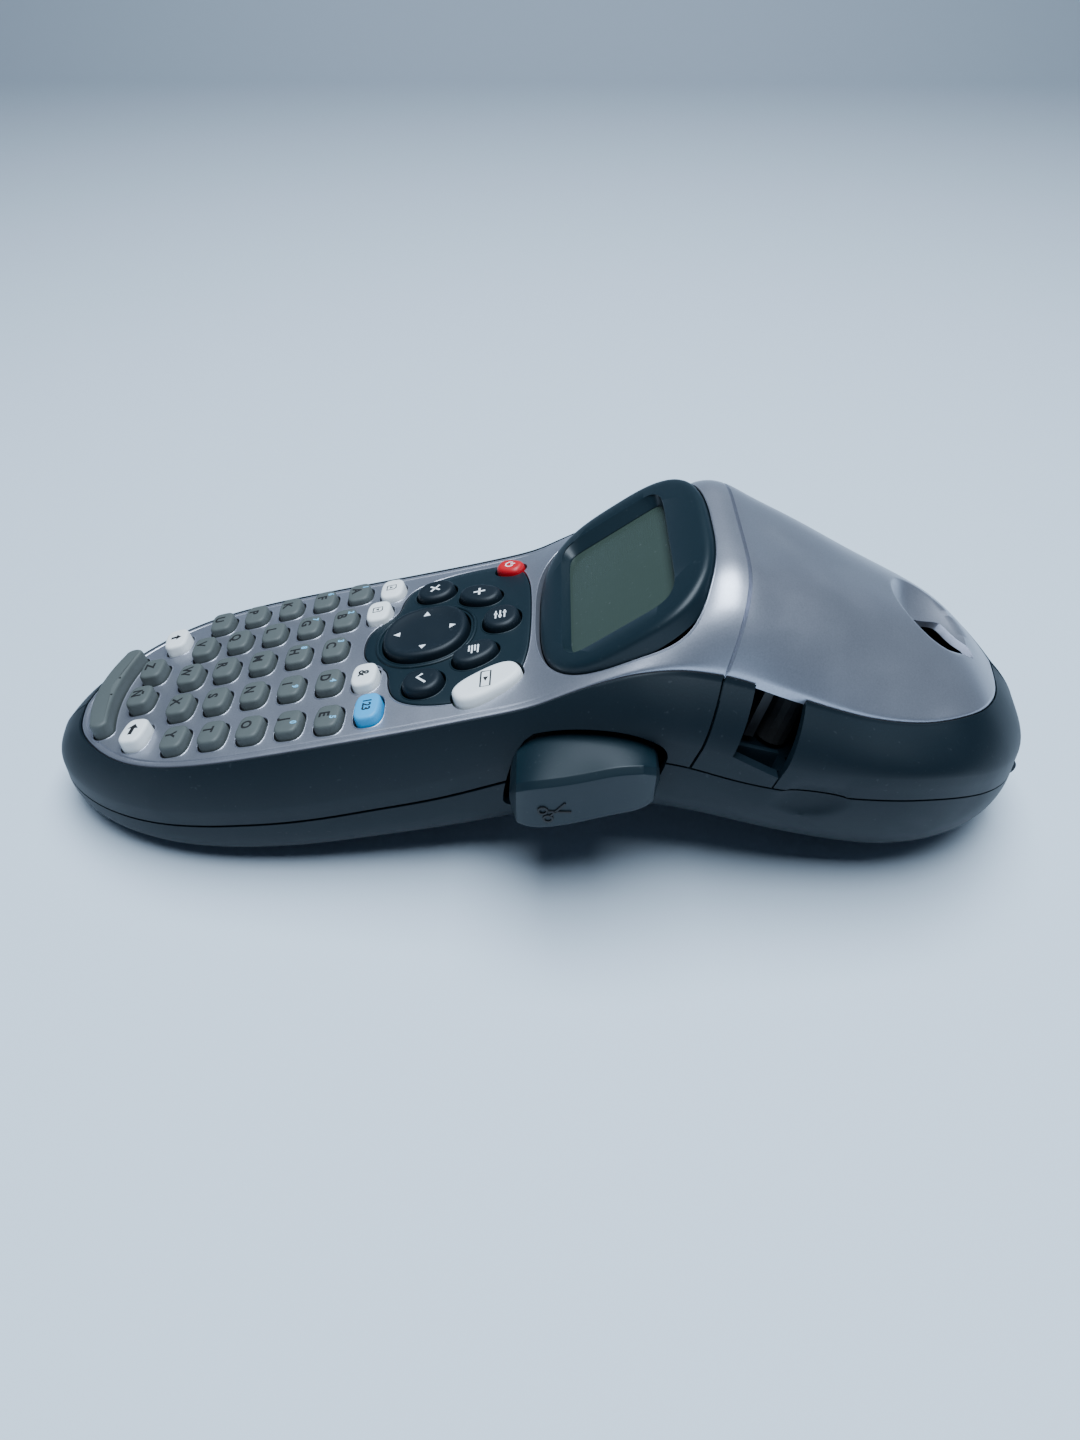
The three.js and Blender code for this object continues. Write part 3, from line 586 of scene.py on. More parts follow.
RED_KEY = material("red_rubber", (0.48, 0.004, 0.012), 0.42, tone=0.1, scale=2600, bump=0.15)
INK = material("black_ink", (0.003, 0.003, 0.004), 0.6, tone=0.1, scale=1800, bump=0.05)
BLUE_INK = material("blue_ink", (0.16, 0.46, 0.68), 0.6, tone=0.06, scale=1800, bump=0.05)
WHITE_INK = material("white_ink", (0.86, 0.87, 0.88), 0.6, tone=0.04, scale=1800, bump=0.05)
STEEL = material("steel", (0.56, 0.57, 0.58), 0.3, tone=0.1, scale=900, bump=0.1, metallic=1.0)
TAPE_SHELL = material("tape_shell", (0.03, 0.032, 0.036), 0.35, tone=0.15, scale=1500)
ROLLER = material("roller_rubber", (0.018, 0.018, 0.019), 0.7, tone=0.2, scale=1500)
ACETAL = material("acetal", (0.78, 0.76, 0.7), 0.4, tone=0.06, scale=1500)
BOARD = material("board_green", (0.02, 0.13, 0.05), 0.4, tone=0.2, scale=600)


def lcd_material():
    """Grey-green liquid crystal under a clear window, with a faint grid of dots."""
    made = material("lcd_glass", (0.036, 0.053, 0.043), 0.2, tone=0.03, scale=500, bump=0.0, smears=0.1,
                    spread=0.03, dust=0.05)
    tree = made.node_tree
    shader = tree.nodes["Principled BSDF"]
    source = shader.inputs["Base Color"].links[0].from_socket
    turn = tree.nodes.new("ShaderNodeMapping")
    turn.inputs["Rotation"].default_value = (0, DISPLAY_TILT, 0)
    coords = tree.nodes.new("ShaderNodeTexCoord")
    tree.links.new(coords.outputs["Object"], turn.inputs["Vector"])
    dots = tree.nodes.new("ShaderNodeTexBrick")
    dots.offset = 0.0
    set_inputs(dots, {"Scale": 1000.0, "Brick Width": 0.55, "Row Height": 0.55, "Mortar Size": 0.03,
                      "Color1": (1, 1, 1, 1), "Color2": (0.97, 0.97, 0.97, 1),
                      "Mortar": (0.9, 0.92, 0.9, 1)})
    tree.links.new(turn.outputs["Vector"], dots.inputs["Vector"])
    mix = tree.nodes.new("ShaderNodeMix")
    mix.data_type = "RGBA"
    mix.blend_type = "MULTIPLY"
    mix.inputs["Factor"].default_value = 1.0
    tree.links.new(source, mix.inputs["A"])
    tree.links.new(dots.outputs["Color"], mix.inputs["B"])
    tree.links.new(mix.outputs["Result"], shader.inputs["Base Color"])
    return made


LCD = lcd_material()


# ---- a rounded bead laid along outlines, by Geometry Nodes ----
def bead_tree():
    tree = bpy.data.node_groups.new("bead_along_lines", "GeometryNodeTree")
    for label, kind in (("Geometry", "Geometry"), ("Radius", "Float"), ("Finish", "Material")):
        tree.interface.new_socket(label, in_out="INPUT", socket_type="NodeSocket" + kind)
    tree.interface.new_socket("Geometry", in_out="OUTPUT", socket_type="NodeSocketGeometry")
    given, out = tree.nodes.new("NodeGroupInput"), tree.nodes.new("NodeGroupOutput")
    lines = tree.nodes.new("GeometryNodeMeshToCurve")
    section = tree.nodes.new("GeometryNodeCurvePrimitiveCircle")
    section.inputs["Resolution"].default_value = 8
    sweep = tree.nodes.new("GeometryNodeCurveToMesh")
    real = tree.nodes.new("GeometryNodeRealizeInstances")
    finish = tree.nodes.new("GeometryNodeSetMaterial")
    link = tree.links.new
    link(given.outputs["Geometry"], lines.inputs["Mesh"])
    link(given.outputs["Radius"], section.inputs["Radius"])
    link(lines.outputs["Curve"], sweep.inputs["Curve"])
    link(section.outputs["Curve"], sweep.inputs["Profile Curve"])
    link(sweep.outputs["Mesh"], real.inputs["Geometry"])
    link(real.outputs["Geometry"], finish.inputs["Geometry"])
    link(given.outputs["Finish"], finish.inputs["Material"])
    link(finish.outputs["Geometry"], out.inputs["Geometry"])
    return tree


BEAD = bead_tree()


def beads(loops, radius, finish):
    """One bead along each closed loop of local points."""
    points, edges = [], []
    for loop in loops:
        start = len(points)
        points += list(place(loop))
        edges += [(start + i, start + (i + 1) % len(loop)) for i in range(len(loop))]
    mesh = bpy.data.meshes.new("beads")
    mesh.from_pydata([tuple(p) for p in points], edges, [])
    made = linked("beads", mesh)
    mod = made.modifiers.new("bead", "NODES")
    mod.node_group = BEAD
    ids = {s.name: s.identifier for s in BEAD.interface.items_tree if s.in_out == "INPUT"}
    mod[ids["Radius"]] = radius * MM
    mod[ids["Finish"]] = finish
    finished(made)
    return cleaned(made, 0.001)


# ---- heights over the plate ----
def on_plate(s, y, lift=0.0):
    """Points at a distance over the silver skin, from slope distance and across."""
    s, y = np.asarray(s, float), np.asarray(y, float)
    h = np.zeros_like(s)
    for _ in range(3):
        p = tilted(s, y, h)
        h = h + (top_z(p[..., 0], y) - p[..., 2]) * math.cos(PLATE_TILT)
    return tilted(s, y, h + lift)


def on_display(outline, lift=0.0):
    """Points where an outline of the display plane meets the silver skin."""
    h = np.zeros(len(outline))
    for _ in range(6):
        p = tilted(outline[:, 0], outline[:, 1], h, DISPLAY_TILT, DISPLAY_AT)
        h = h + (top_z(p[:, 0], p[:, 1]) - p[:, 2]) * math.cos(DISPLAY_TILT)
    return tilted(outline[:, 0], outline[:, 1], h + lift, DISPLAY_TILT, DISPLAY_AT)


# ---- keys ----
LETTERS = "abcdefghijklmnopqrstuvwxy"
LETTER = {"a": 2.65, "b": 3.5, "power": 3.4, "finish": GREY_KEY, "slot": "letter_key"}
WHITE = {"a": 2.7, "b": 3.75, "power": 3.0, "finish": WHITE_KEY, "slot": "white_key"}
ROUND = {"power": 2.2, "finish": DARK_KEY, "slot": "dark_key", "panel": True}
KEYS = {}
for index, letter in enumerate(LETTERS):
    KEYS["key_" + letter] = dict(LETTER, turn=-((index % 5) - 2) * 0.027)
KEYS["key_z"] = dict(LETTER, b=3.4)
KEYS["key_enye"] = dict(LETTER, b=3.4)
KEYS["key_caps"] = dict(WHITE, turn=0.12)
KEYS["key_erase"] = dict(WHITE, turn=-0.12)
for name in ("key_save", "key_open", "key_symbol"):
    KEYS[name] = dict(WHITE)
KEYS["key_numlock"] = dict(WHITE, b=4.0, finish=BLUE_KEY, slot="blue_key")
KEYS["nav_pad"] = dict(ROUND, a=8.9, b=8.7, power=2.3)
for name, a, b, turn in (("key_cancel", 4.2, 3.7, 0.1), ("key_insert", 4.7, 3.3, -0.4),
                         ("key_settings", 3.8, 4.0, 0), ("key_format", 4.7, 3.3, 0.4),
                         ("key_ok", 4.1, 3.8, -0.1)):
    KEYS[name] = dict(ROUND, a=a, b=b, turn=turn)
KEYS["key_print"] = dict(ROUND, a=7.1, b=3.8, turn=0.5, power=2.6, finish=WHITE_KEY, slot="white_key")
KEYS["key_power"] = dict(ROUND, a=3.1, b=2.5, turn=-0.45, power=2.6, finish=RED_KEY, slot="red_key")
KEYS["key_space"] = {"finish": GREY_KEY, "slot": "letter_key"}


def key_centre(name):
    """Slope distance and across of a key's middle, from its solid's box."""
    low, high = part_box(name)
    d = local((low + high) / 2) - PLATE_AT
    return d[0] * math.cos(PLATE_TILT) + d[2] * math.sin(PLATE_TILT), d[1]


def space_bar_outline():
    """A long bar bent along the tail's outline, walked counter-clockwise."""
    s0 = -33.0
    v = np.linspace(-1, 1, 17)
    upper = np.stack([s0 + 3.1 - 1.7 * (1 - v**2), 11.9 * v], -1)
    lower = np.stack([s0 - 1.1 - 2.3 * (1 - v[::-1]**2), 11.9 * v[::-1]], -1)
    turn = np.linspace(0, math.pi, 9)[1:-1]
    far = np.stack([s0 + 1.0 + 2.1 * np.cos(turn), 11.9 + 1.7 * np.sin(turn)], -1)
    near = np.stack([s0 + 1.0 - 2.1 * np.cos(turn), -11.9 - 1.7 * np.sin(turn)], -1)
    return np.concatenate([upper, far, lower, near])


for name, key in KEYS.items():
    if name == "key_space":
        key["outline"] = space_bar_outline()
        key["s"], key["y"] = key["outline"].mean(0)
    else:
        key["s"], key["y"] = key_centre(name)
        points = 96 if name == "nav_pad" else 56
        key["outline"] = super_ellipse(key["a"], key["b"], key["power"], points, key.get("turn", 0),
                                       (key["s"], key["y"]))

KEY_TOP = 3.0
KEY_DOME = 0.14


def key_top(y):
    return KEY_TOP - 0.0022 * y * y


def key_dome(key):
    return 0.0 if key.get("panel") else KEY_DOME


def key_cap(name, key):
    """Soft-edged cap: straight skirt, tapering wall, rounded shoulder and a slightly crowned top."""
    outline, centre = key["outline"], np.array([key["s"], key["y"]])
    shoulder = 1.1 if key.get("panel") else 0.72
    base, dome = 0.15, key_dome(key)
    top = key_top(key["y"]) - dome
    rings = []
    for inset, h in ((0, -3.4), (0.02, -0.4), (base, top - shoulder)):
        rings.append(tilted(*grown(outline, -inset).T, h))
    for turn in np.linspace(0.2, 1, 5) * math.pi / 2:
        ring = grown(outline, -base - shoulder * 0.9 * (1 - math.cos(turn)))
        rings.append(tilted(*ring.T, top - shoulder + shoulder * math.sin(turn)))
    last = grown(outline, -base - shoulder * 0.9)
    for share in (0.8, 0.55, 0.3, 0.08):
        ring = centre + (last - centre) * share
        rings.append(tilted(*ring.T, top + dome * (1 - share**2)))
    if name == "nav_pad":
        rings = rings[:-4]
        for share, drop in ((0.93, 0.1), (0.8, 0.32), (0.55, 0.42), (0.3, 0.45), (0.08, 0.45)):
            ring = centre + (last - centre) * share
            rings.append(tilted(*ring.T, top - drop))
    return smooth(ring_stack("cap", rings, key["finish"]), 50)


# ---- legends ----
def flat_text(text, size):
    """Glyph triangles in millimetres, x along the reading direction."""
    curve = bpy.data.curves.new("legend", "FONT")
    curve.body = text
    curve.size = size
    curve.align_x, curve.align_y = "CENTER", "CENTER"
    curve.resolution_u = 3
    curve.offset = 0.03 * size
    made = linked("legend", curve)
    bpy.context.view_layer.update()
    graph = bpy.context.evaluated_depsgraph_get()
    mesh = bpy.data.meshes.new_from_object(made.evaluated_get(graph))
    points = np.array([v.co[:2] for v in mesh.vertices], float).reshape(-1, 2)
    faces = [tuple(p.vertices) for p in mesh.polygons]
    bpy.data.objects.remove(made)
    return points, faces


def stroke(points, width):
    """A flat ribbon along a line, in legend millimetres."""
    p = np.array(points, float)
    t = np.gradient(p, axis=0)
    t /= np.linalg.norm(t, axis=1)[:, None]
    n = np.stack([-t[:, 1], t[:, 0]], -1) * width / 2
    both = np.concatenate([p + n, p - n])
    m = len(p)
    return both, [(i, i + 1, m + i + 1, m + i) for i in range(m - 1)]


def filled(corners):
    return np.array(corners, float), [tuple(range(len(corners)))]


def arc(cx, cy, r, start, end, n=24):
    a = np.radians(np.linspace(start, end, n))
    return np.stack([cx + r * np.cos(a), cy + r * np.sin(a)], -1)


PRINT_LIFT = 0.025
PRINT_ROOT = 0.08


def legend(shapes, key, finish, shift=(0.0, 0.0), turn=0.0, size=1.0):
    """Raised print on a key: legend x reads towards -Y and legend y points up the handle."""
    points, faces = [], []
    for shape_points, shape_faces in shapes:
        start = len(points)
        points += list(shape_points)
        faces += [tuple(start + i for i in f) for f in shape_faces]
    p = np.array(points, float) * size
    c, s = math.cos(turn), math.sin(turn)
    x = p[:, 0] * c - p[:, 1] * s + shift[0]
    y = p[:, 0] * s + p[:, 1] * c + shift[1]
    reach = np.clip(np.hypot(y / key.get("a", 3), x / key.get("b", 3)), 0, 1)
    top = key_top(key["y"]) - key_dome(key) * reach**2
    if key is KEYS["nav_pad"]:
        top = top - 0.40 + 0.36 * np.clip((reach - 0.45) / 0.5, 0, 1)
    upper = tilted(key["s"] + y, key["y"] - x, top + PRINT_LIFT)
    lower = tilted(key["s"] + y, key["y"] - x, top - PRINT_ROOT)
    return solid_sheet("legend", upper, faces, lower, finish)


DIGITS = {letter: str((i + 1) % 10) for i, letter in enumerate("abcdefghij")}
DIGIT_SHIFT = {letter: 1.0 if letter in "deij" else -1.3 for letter in DIGITS}
CROSS = [stroke([(-1, -1), (1, 1)], 0.42), stroke([(-1, 1), (1, -1)], 0.42)]
TICK = [stroke([(-1.3, 0.1), (-0.4, -0.9), (1.4, 1.1)], 0.45)]
PLUS = [stroke([(-1.1, 0), (1.1, 0)], 0.4), stroke([(0, -1.1), (0, 1.1)], 0.4)]
BARS = [stroke([(-1.3, h), (1.3, h)], 0.3) for h in (-0.9, 0, 0.9)] + [
    filled([(x - 0.3, h - 0.32), (x + 0.3, h - 0.32), (x + 0.3, h + 0.32), (x - 0.3, h + 0.32)])
    for x, h in ((-0.5, 0.9), (0.6, 0), (-0.2, -0.9))]
LINES = [stroke([(-1.3, h), (w, h)], 0.32) for h, w in ((0.9, 1.3), (0.3, 0.6), (-0.3, 1.3), (-0.9, 0.6))]
TAPE = [stroke([(-2.1, -0.85), (2.1, -0.85), (2.1, 0.85), (-2.1, 0.85), (-2.1, -0.87)], 0.3),
        filled([(-0.5, -0.45), (0.7, 0), (-0.5, 0.45)])]
SHEET = [stroke([(-0.8, -1.0), (0.8, -1.0), (0.8, 0.6), (0.4, 1.0), (-0.8, 1.0), (-0.8, -1.02)], 0.26)]
SAVE = SHEET + [filled([(-0.42, 0.25), (0, -0.5), (0.42, 0.25)])]
OPEN = SHEET + [filled([(-0.42, -0.35), (0.42, -0.35), (0, 0.4)])]
POWER = [stroke(arc(0, 0, 1.0, 125, 415), 0.3), stroke([(0, 0.2), (0, 1.4)], 0.3)]
UP = [filled([(-1.0, 0.2), (1.0, 0.2), (0, 1.3)]),
      filled([(-0.42, -1.1), (0.42, -1.1), (0.42, 0.25), (-0.42, 0.25)])]
BACK = [filled([(-1.4, 0), (-0.2, -1.0), (-0.2, 1.0)]),
        filled([(-0.25, -0.38), (1.4, -0.38), (1.4, 0.38), (-0.25, 0.38)])]
BRACKET = [stroke([(-2.6, 0.9), (-2.6, -0.4), (2.6, -0.4), (2.6, 0.9)], 0.34)]


def legends_of(name, key):
    letter = name[4:]
    turn = key.get("turn", 0)
    if len(letter) == 1 and letter in LETTERS + "z" or name == "key_enye":
        glyph = "Ñ" if name == "key_enye" else letter.upper()
        made = [legend([flat_text(glyph, 2.9)], key, INK, (-0.3, -0.55), turn)]
        if letter in DIGITS:
            digit = [flat_text(DIGITS[letter], 1.7)]
            made.append(legend(digit, key, BLUE_INK, (DIGIT_SHIFT[letter], 1.35), turn))
        return made
    marks = {
        "key_caps": (UP, INK, 0.95), "key_erase": (BACK, INK, 1.15), "key_save": (SAVE, INK, 1.0),
        "key_open": (OPEN, INK, 1.0), "key_numlock": ([flat_text("123", 2.3)], INK, 1.0),
        "key_symbol": ([flat_text("&", 3.0)], INK, 1.0), "key_cancel": (CROSS, WHITE_INK, 0.95),
        "key_insert": (PLUS, WHITE_INK, 1.1), "key_settings": (BARS, WHITE_INK, 1.0),
        "key_format": (LINES, WHITE_INK, 1.0), "key_ok": (TICK, WHITE_INK, 1.0),
        "key_print": (TAPE, INK, 1.1), "key_power": (POWER, WHITE_INK, 0.85),
        "key_space": (BRACKET, INK, 1.1),
    }
    if name == "nav_pad":
        tip = [filled([(-0.72, -0.45), (0.72, -0.45), (0, 0.85)])]
        return [legend(tip, key, WHITE_INK, (-5.6 * math.sin(a), 5.6 * math.cos(a)), a)
                for a in (0, math.pi / 2, math.pi, -math.pi / 2)]
    shapes, finish, size = marks[name]
    return [legend(shapes, key, finish, turn=turn if abs(turn) < 0.3 else 0, size=size)]


def make_keys():
    for name, key in KEYS.items():
        made = joined(name + "_cap", [key_cap(name, key)] + legends_of(name, key))
        keep(smooth(made, 50), name, key["slot"], name)


# ---- shells ----
def edge_rows(groove=True, inner_rows=13):
    """Rows of a skin edge by distance in from the rim: a small roll, then a fine groove."""
    distances = [EDGE_INSET, EDGE_INSET + 0.03, EDGE_INSET + 0.1, EDGE_INSET + 0.2, EDGE_INSET + 0.35,
                 1.2, 1.42, 1.55, 1.66, 1.77, 1.88, 2.0, 2.12, 2.25, 2.5, 3.0, 3.8, 5, 6.5, 8.5]
    inner = np.linspace(9.5, HALF, inner_rows)
    rows = []
    for d in list(distances) + list(inner):
        into = max(0.0, 0.35 - (d - EDGE_INSET))
        roll = 0.35 - math.sqrt(max(0.35**2 - into**2, 0))
        dip = 0.24 * math.exp(-(((d - 1.82) / 0.15) ** 2)) if groove else 0.0
        rows.append((1 - d / HALF, -roll, dip))
    return rows


def ends(v, low_plane, low_shift, high_plane, high_shift):
    """For each v, the u where a sheet starts and where it stops."""
    low = crossing(v, low_plane, low_shift) if low_plane else np.zeros(len(v))
    high = crossing(v, high_plane, high_shift) if high_plane else np.ones(len(v))
    return low, high


def skin_sheet(rows, planes, steps, shape=None):
    """Full-width sheet of the silver skin between two ends."""
    near = [(-v, roll, dip) for v, roll, dip in rows if v > 0]
    v, roll, dip = np.array(near + rows[::-1]).T
    points = grid(v, *ends(v, *planes), steps)
    roll, dip = roll[:, None], dip[:, None]
    fade = np.clip((108 - points[..., 0]) / 18, 0, 1)
    points[..., 2] += roll - dip * fade
    if shape:
        points = shape(points)
    return points.reshape(-1, 3), quads(len(v), steps)


def side_sheet(rows, planes, steps, shape=None):
    """Both side walls between two ends; each row is (v, height change)."""
    points, faces = [], []
    v, rise = np.array(rows).T
    for side in (1, -1):
        sheet = grid(v * side, *ends(v * side, *planes), steps)
        sheet[..., 2] += rise[:, None]
        if shape:
            sheet = shape(sheet)
        start = sum(len(p) for p in points)
        patch = quads(len(v), steps, start=start)
        faces += patch if side > 0 else [f[::-1] for f in patch]
        points.append(sheet.reshape(-1, 3))
    return np.concatenate(points), faces


def rim_rows(steps):
    """Top edge of a dark side wall, from under the silver skin over a small round lip."""
    lip = [(1 - d / HALF, drop) for d, drop in ((1.0, -1.4), (0.42, -1.2), (0.34, -0.35), (0.28, -0.12),
                                                (0.14, -0.01), (0, 0))]
    return lip + [(1 + a, 0.0) for a in np.linspace(0, 1, steps + 1)[1:] ** 1.25]


SEAM_EDGE = [(2.5, 0.0), (2.9, 0.0), (2.985, 0.0)]


def notch(points):
    """Shallow finger hollow across the side seam."""
    r2 = ((points[..., 0] - 151.8) / 6.4) ** 2 + ((points[..., 2] - 26.9) / 3.9) ** 2
    depth = 1.1 * np.clip(1 - r2, 0, None) ** 0.6
    side = np.abs(points[..., 1]) > 25
    points[..., 1] -= np.sign(points[..., 1]) * depth * side
    return points


PANEL_HALF = [(22.2, 3.0), (24.0, 6.6), (27.3, 9.2), (28.4, 11.6), (28.6, 15.5), (30.2, 19.6), (33.5, 22),
              (38.5, 23.5), (44.5, 23.9), (50, 23.2), (54.1, 20.2), (56, 14), (56.6, 6.5)]
PANEL = np.array([(s, -y) for s, y in PANEL_HALF] + [(s, y) for s, y in PANEL_HALF[::-1]])
PANEL[:, 1] *= np.where(PANEL[:, 1] < 0, 0.94, 1.0)
PANEL = rounded(PANEL)
BEZEL_A, BEZEL_B, BEZEL_S = 19.1, 25.8, 1.1


def bezel_outline(by, n=180):
    return super_ellipse(BEZEL_A + by, BEZEL_B + by, 3.0, n, 0, (BEZEL_S, 0))


def key_cutters(names):
    return joined("cutters", [prism(grown(KEYS[n]["outline"], HOLE_GAP), -9, 9) for n in names])


PANEL_KEYS = [n for n, k in KEYS.items() if k.get("panel") and n not in ("key_print", "key_power")]
PLATE_KEYS = [n for n in KEYS if n not in PANEL_KEYS]


def make_fascia():
    """Silver plate and display surround with its openings and their fine raised edges."""
    sheet = skin_sheet(edge_rows(), (None, 0, lid_front, -0.4), 240)
    skin = wall(sheet, SILVER, (90, 0, -40), sinking((0, 0, 1), 1.5))
    boolean(skin, prism(grown(PANEL, 0.22), -9, 9))
    boolean(skin, prism(bezel_outline(0.25, 120), -14, 14, DISPLAY_TILT, DISPLAY_AT))
    boolean(skin, key_cutters(PLATE_KEYS))
    loops = [on_plate(*grown(KEYS[n]["outline"], HOLE_GAP + 0.06).T, -0.05) for n in PLATE_KEYS
             if n not in ("key_print", "key_power")]
    loops.append(on_display(bezel_outline(0.4), -0.08))
    seat = beads([on_plate(*grown(PANEL, 0.34).T, -0.06)], FINE_BEAD, SILVER)
    boolean(seat, key_cutters(["key_print", "key_power"]))
    lips = smooth(beads(loops, FINE_BEAD, SILVER), 60)
    made = joined("fascia_skin", [smooth(skin), lips, smooth(seat, 60)])
    keep(made, "housing", "silver_shell", "keyboard_fascia")


def make_panel():
    """Dark panel that follows the plate, with a ridge round the navigation pad."""
    middle = np.array([40.5, 0.0])
    rings = [on_plate(*PANEL.T, -1.7), on_plate(*PANEL.T, -0.2)]
    for inset, lift in ((0.06, -0.02), (0.2, 0.1), (0.4, 0.14)):
        rings.append(on_plate(*grown(PANEL, -inset).T, lift))
    for share in np.linspace(0.93, 0.04, 16):
        ring = middle + (grown(PANEL, -0.4) - middle) * share
        rings.append(on_plate(*ring.T, 0.14))
    panel = ring_stack("panel", rings, DARK_SATIN)
    boolean(panel, key_cutters([n for n in KEYS if KEYS[n].get("panel")]))
    loops = [on_plate(*grown(KEYS[n]["outline"], HOLE_GAP + 0.08).T, 0.1) for n in PANEL_KEYS]
    ridge = [on_plate(*grown(KEYS["nav_pad"]["outline"], 1.25).T, 0.12)]
    parts = [smooth(panel), smooth(beads(loops, FINE_BEAD, DARK_SATIN), 60),
             smooth(beads(ridge, 0.42, DARK_SATIN), 60)]
    keep(joined("button_panel", parts), "housing", "dark_panel", "function_panel")


def bezel(outline, h):
    return tilted(outline[:, 0], outline[:, 1], h, DISPLAY_TILT, DISPLAY_AT)


def make_bezel():
    """Raised oval frame: outer wall, round crest, flat land and the bevel down to the glass."""
    rings = []
    for by, h in ((0, -3), (0, -0.5), (-0.04, 0.0), (-0.16, 0.4), (-0.4, 0.75), (-0.75, 1.0), (-1.2, 1.14),
                  (-1.8, 1.22), (-2.8, 1.28)):
        rings.append(bezel(bezel_outline(by), h))
    for a, b, power, h in ((12.5, 20.3, 6, 1.3), (12.3, 20.1, 7, 1.24), (12.2, 19.95, 8, 1.1),
                           (11.6, 18.1, 10, -0.2), (11.5, 17.8, 11, -0.42), (11.4, 17.6, 12, -0.6),
                           (11.4, 17.6, 12, -3)):
        rings.append(bezel(super_ellipse(a, b, power, 180), h))
    made = smooth(ring_stack("display_frame", rings, DARK_SATIN, around=True), 35)
    keep(made, "housing", "dark_panel", "display_bezel")


def make_glass():
    """Display glass, a thin plate that fills the frame's opening."""
    low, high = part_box("lcd_module")
    upright = np.array([-math.sin(DISPLAY_TILT), 0, math.cos(DISPLAY_TILT)])
    top = (local((low + high) / 2) - DISPLAY_AT) @ upright
    outline = super_ellipse(11.7, 17.9, 12, 120)
    rings = [bezel(outline, h) for h in (top - 1.0, -0.75)]
    keep(smooth(ring_stack("display_glass", rings, LCD)), "housing", "lcd", "lcd_module")


LEVER_HOLE = [(95.2, 21.8), (98.6, 36.4), (106, 39.0), (114, 40.3), (120.4, 40.0), (125.6, 37.4),
              (124.8, 32), (121.6, 24.0), (112, 21.5), (101, 19.3), (96.2, 19.3)]


def lever_cutter():
    return side_prism(rounded(LEVER_HOLE, 2), -60, -24)


def make_front_housing():
    """Dark side wall of the handle, round the tail and up to the lid."""
    sheet = side_sheet(rim_rows(18) + SEAM_EDGE, (None, 0, lid_front, -0.4), 240)
    side = wall(sheet, DARK, (80, 0, 20), inwards(WALL))
    boolean(side, lever_cutter())
    keep(joined("handle_side_wall", [smooth(side)]), "housing", "dark_shell", "front_housing")


COVER = [(52, 110), (-17, 17)]


def belly_rows():
    below = 0.004 + (1 - 0.004) * np.linspace(0, 1, 47) ** 1.4
    return [(3 + a, 0.0) for a in below]


def cover_block(by):
    (x0, x1), (y0, y1) = COVER
    return block((x0 - by, x1 + by), (y0 - by, y1 + by), (-6, 18))


def make_rear_housing():
    """Lower shell with the battery cover cut out of it."""
    sheet = side_sheet(belly_rows(), (None, 0, None, 0), 260, notch)
    belly = cleaned(mesh_object("belly", *sheet, DARK), outward=(100, 0, 18))
    shell = belly.modifiers.new("wall", "SOLIDIFY")
    shell.thickness = BELLY_WALL * MM
    shell.offset = -1
    finished(belly)
    cover = linked("cover", belly.data.copy())
    boolean(cover, cover_block(0), "INTERSECT")
    boolean(belly, cover_block(GAP))
    boolean(belly, lever_cutter())
    boolean(belly, rod(3.8, -12.4, 12.4))
    keep(joined("lower_shell", [smooth(belly)] + hinge_ears()), "housing", "dark_shell", "rear_housing")
    keep(joined("battery_lid", [smooth(cover)]), "battery_cover", "dark_shell", "battery_cover")


def rod(radius, y0, y1, hole=0.0):
    """Round dark bar or tube on the lid's hinge axis."""
    turn = np.linspace(0, 2 * np.pi, 40, endpoint=False)
    ring = lambda r, y: np.stack([LID_HINGE[0] + r * np.cos(turn), np.full(len(turn), float(y)),
                                  LID_HINGE[1] + r * np.sin(turn)], -1)
    edge = 0.25
    rings = [ring(radius - edge, y0), ring(radius, y0 + edge),
             ring(radius, y1 - edge), ring(radius - edge, y1)]
    if hole:
        rings += [ring(hole, y1), ring(hole, y0)]
    return smooth(ring_stack("rod", rings, DARK, around=bool(hole)), 40)


def hinge_ears():
    ears = []
    for side in (-1, 1):
        y0, y1 = sorted((side * 8.4, side * 11.3))
        ears.append(rod(2.3, y0, y1, hole=1.2))
        arm = block((188.5, 196.6), (y0 + 0.2, y1 - 0.2), (10.4, 13.0))
        arm.data.materials.append(DARK)
        ears.append(arm)
    return ears


SCOOP_TILT = math.radians(-35.8)
SCOOP_AT = np.array([181.5, 0, 43.2])


def dished(points):
    """Thumb hollow near the nose, sunk along the lid's own normal."""
    inside = 1 - ((points[..., 0] - 179.1) / 8.0) ** 2 - ((points[..., 1] - 0.6) / 11.2) ** 2
    depth = 2.1 * (inside + np.sqrt(inside**2 + 0.002))
    points[..., 0] -= depth * math.sin(-SCOOP_TILT)
    points[..., 2] -= depth * math.cos(SCOOP_TILT)
    return points


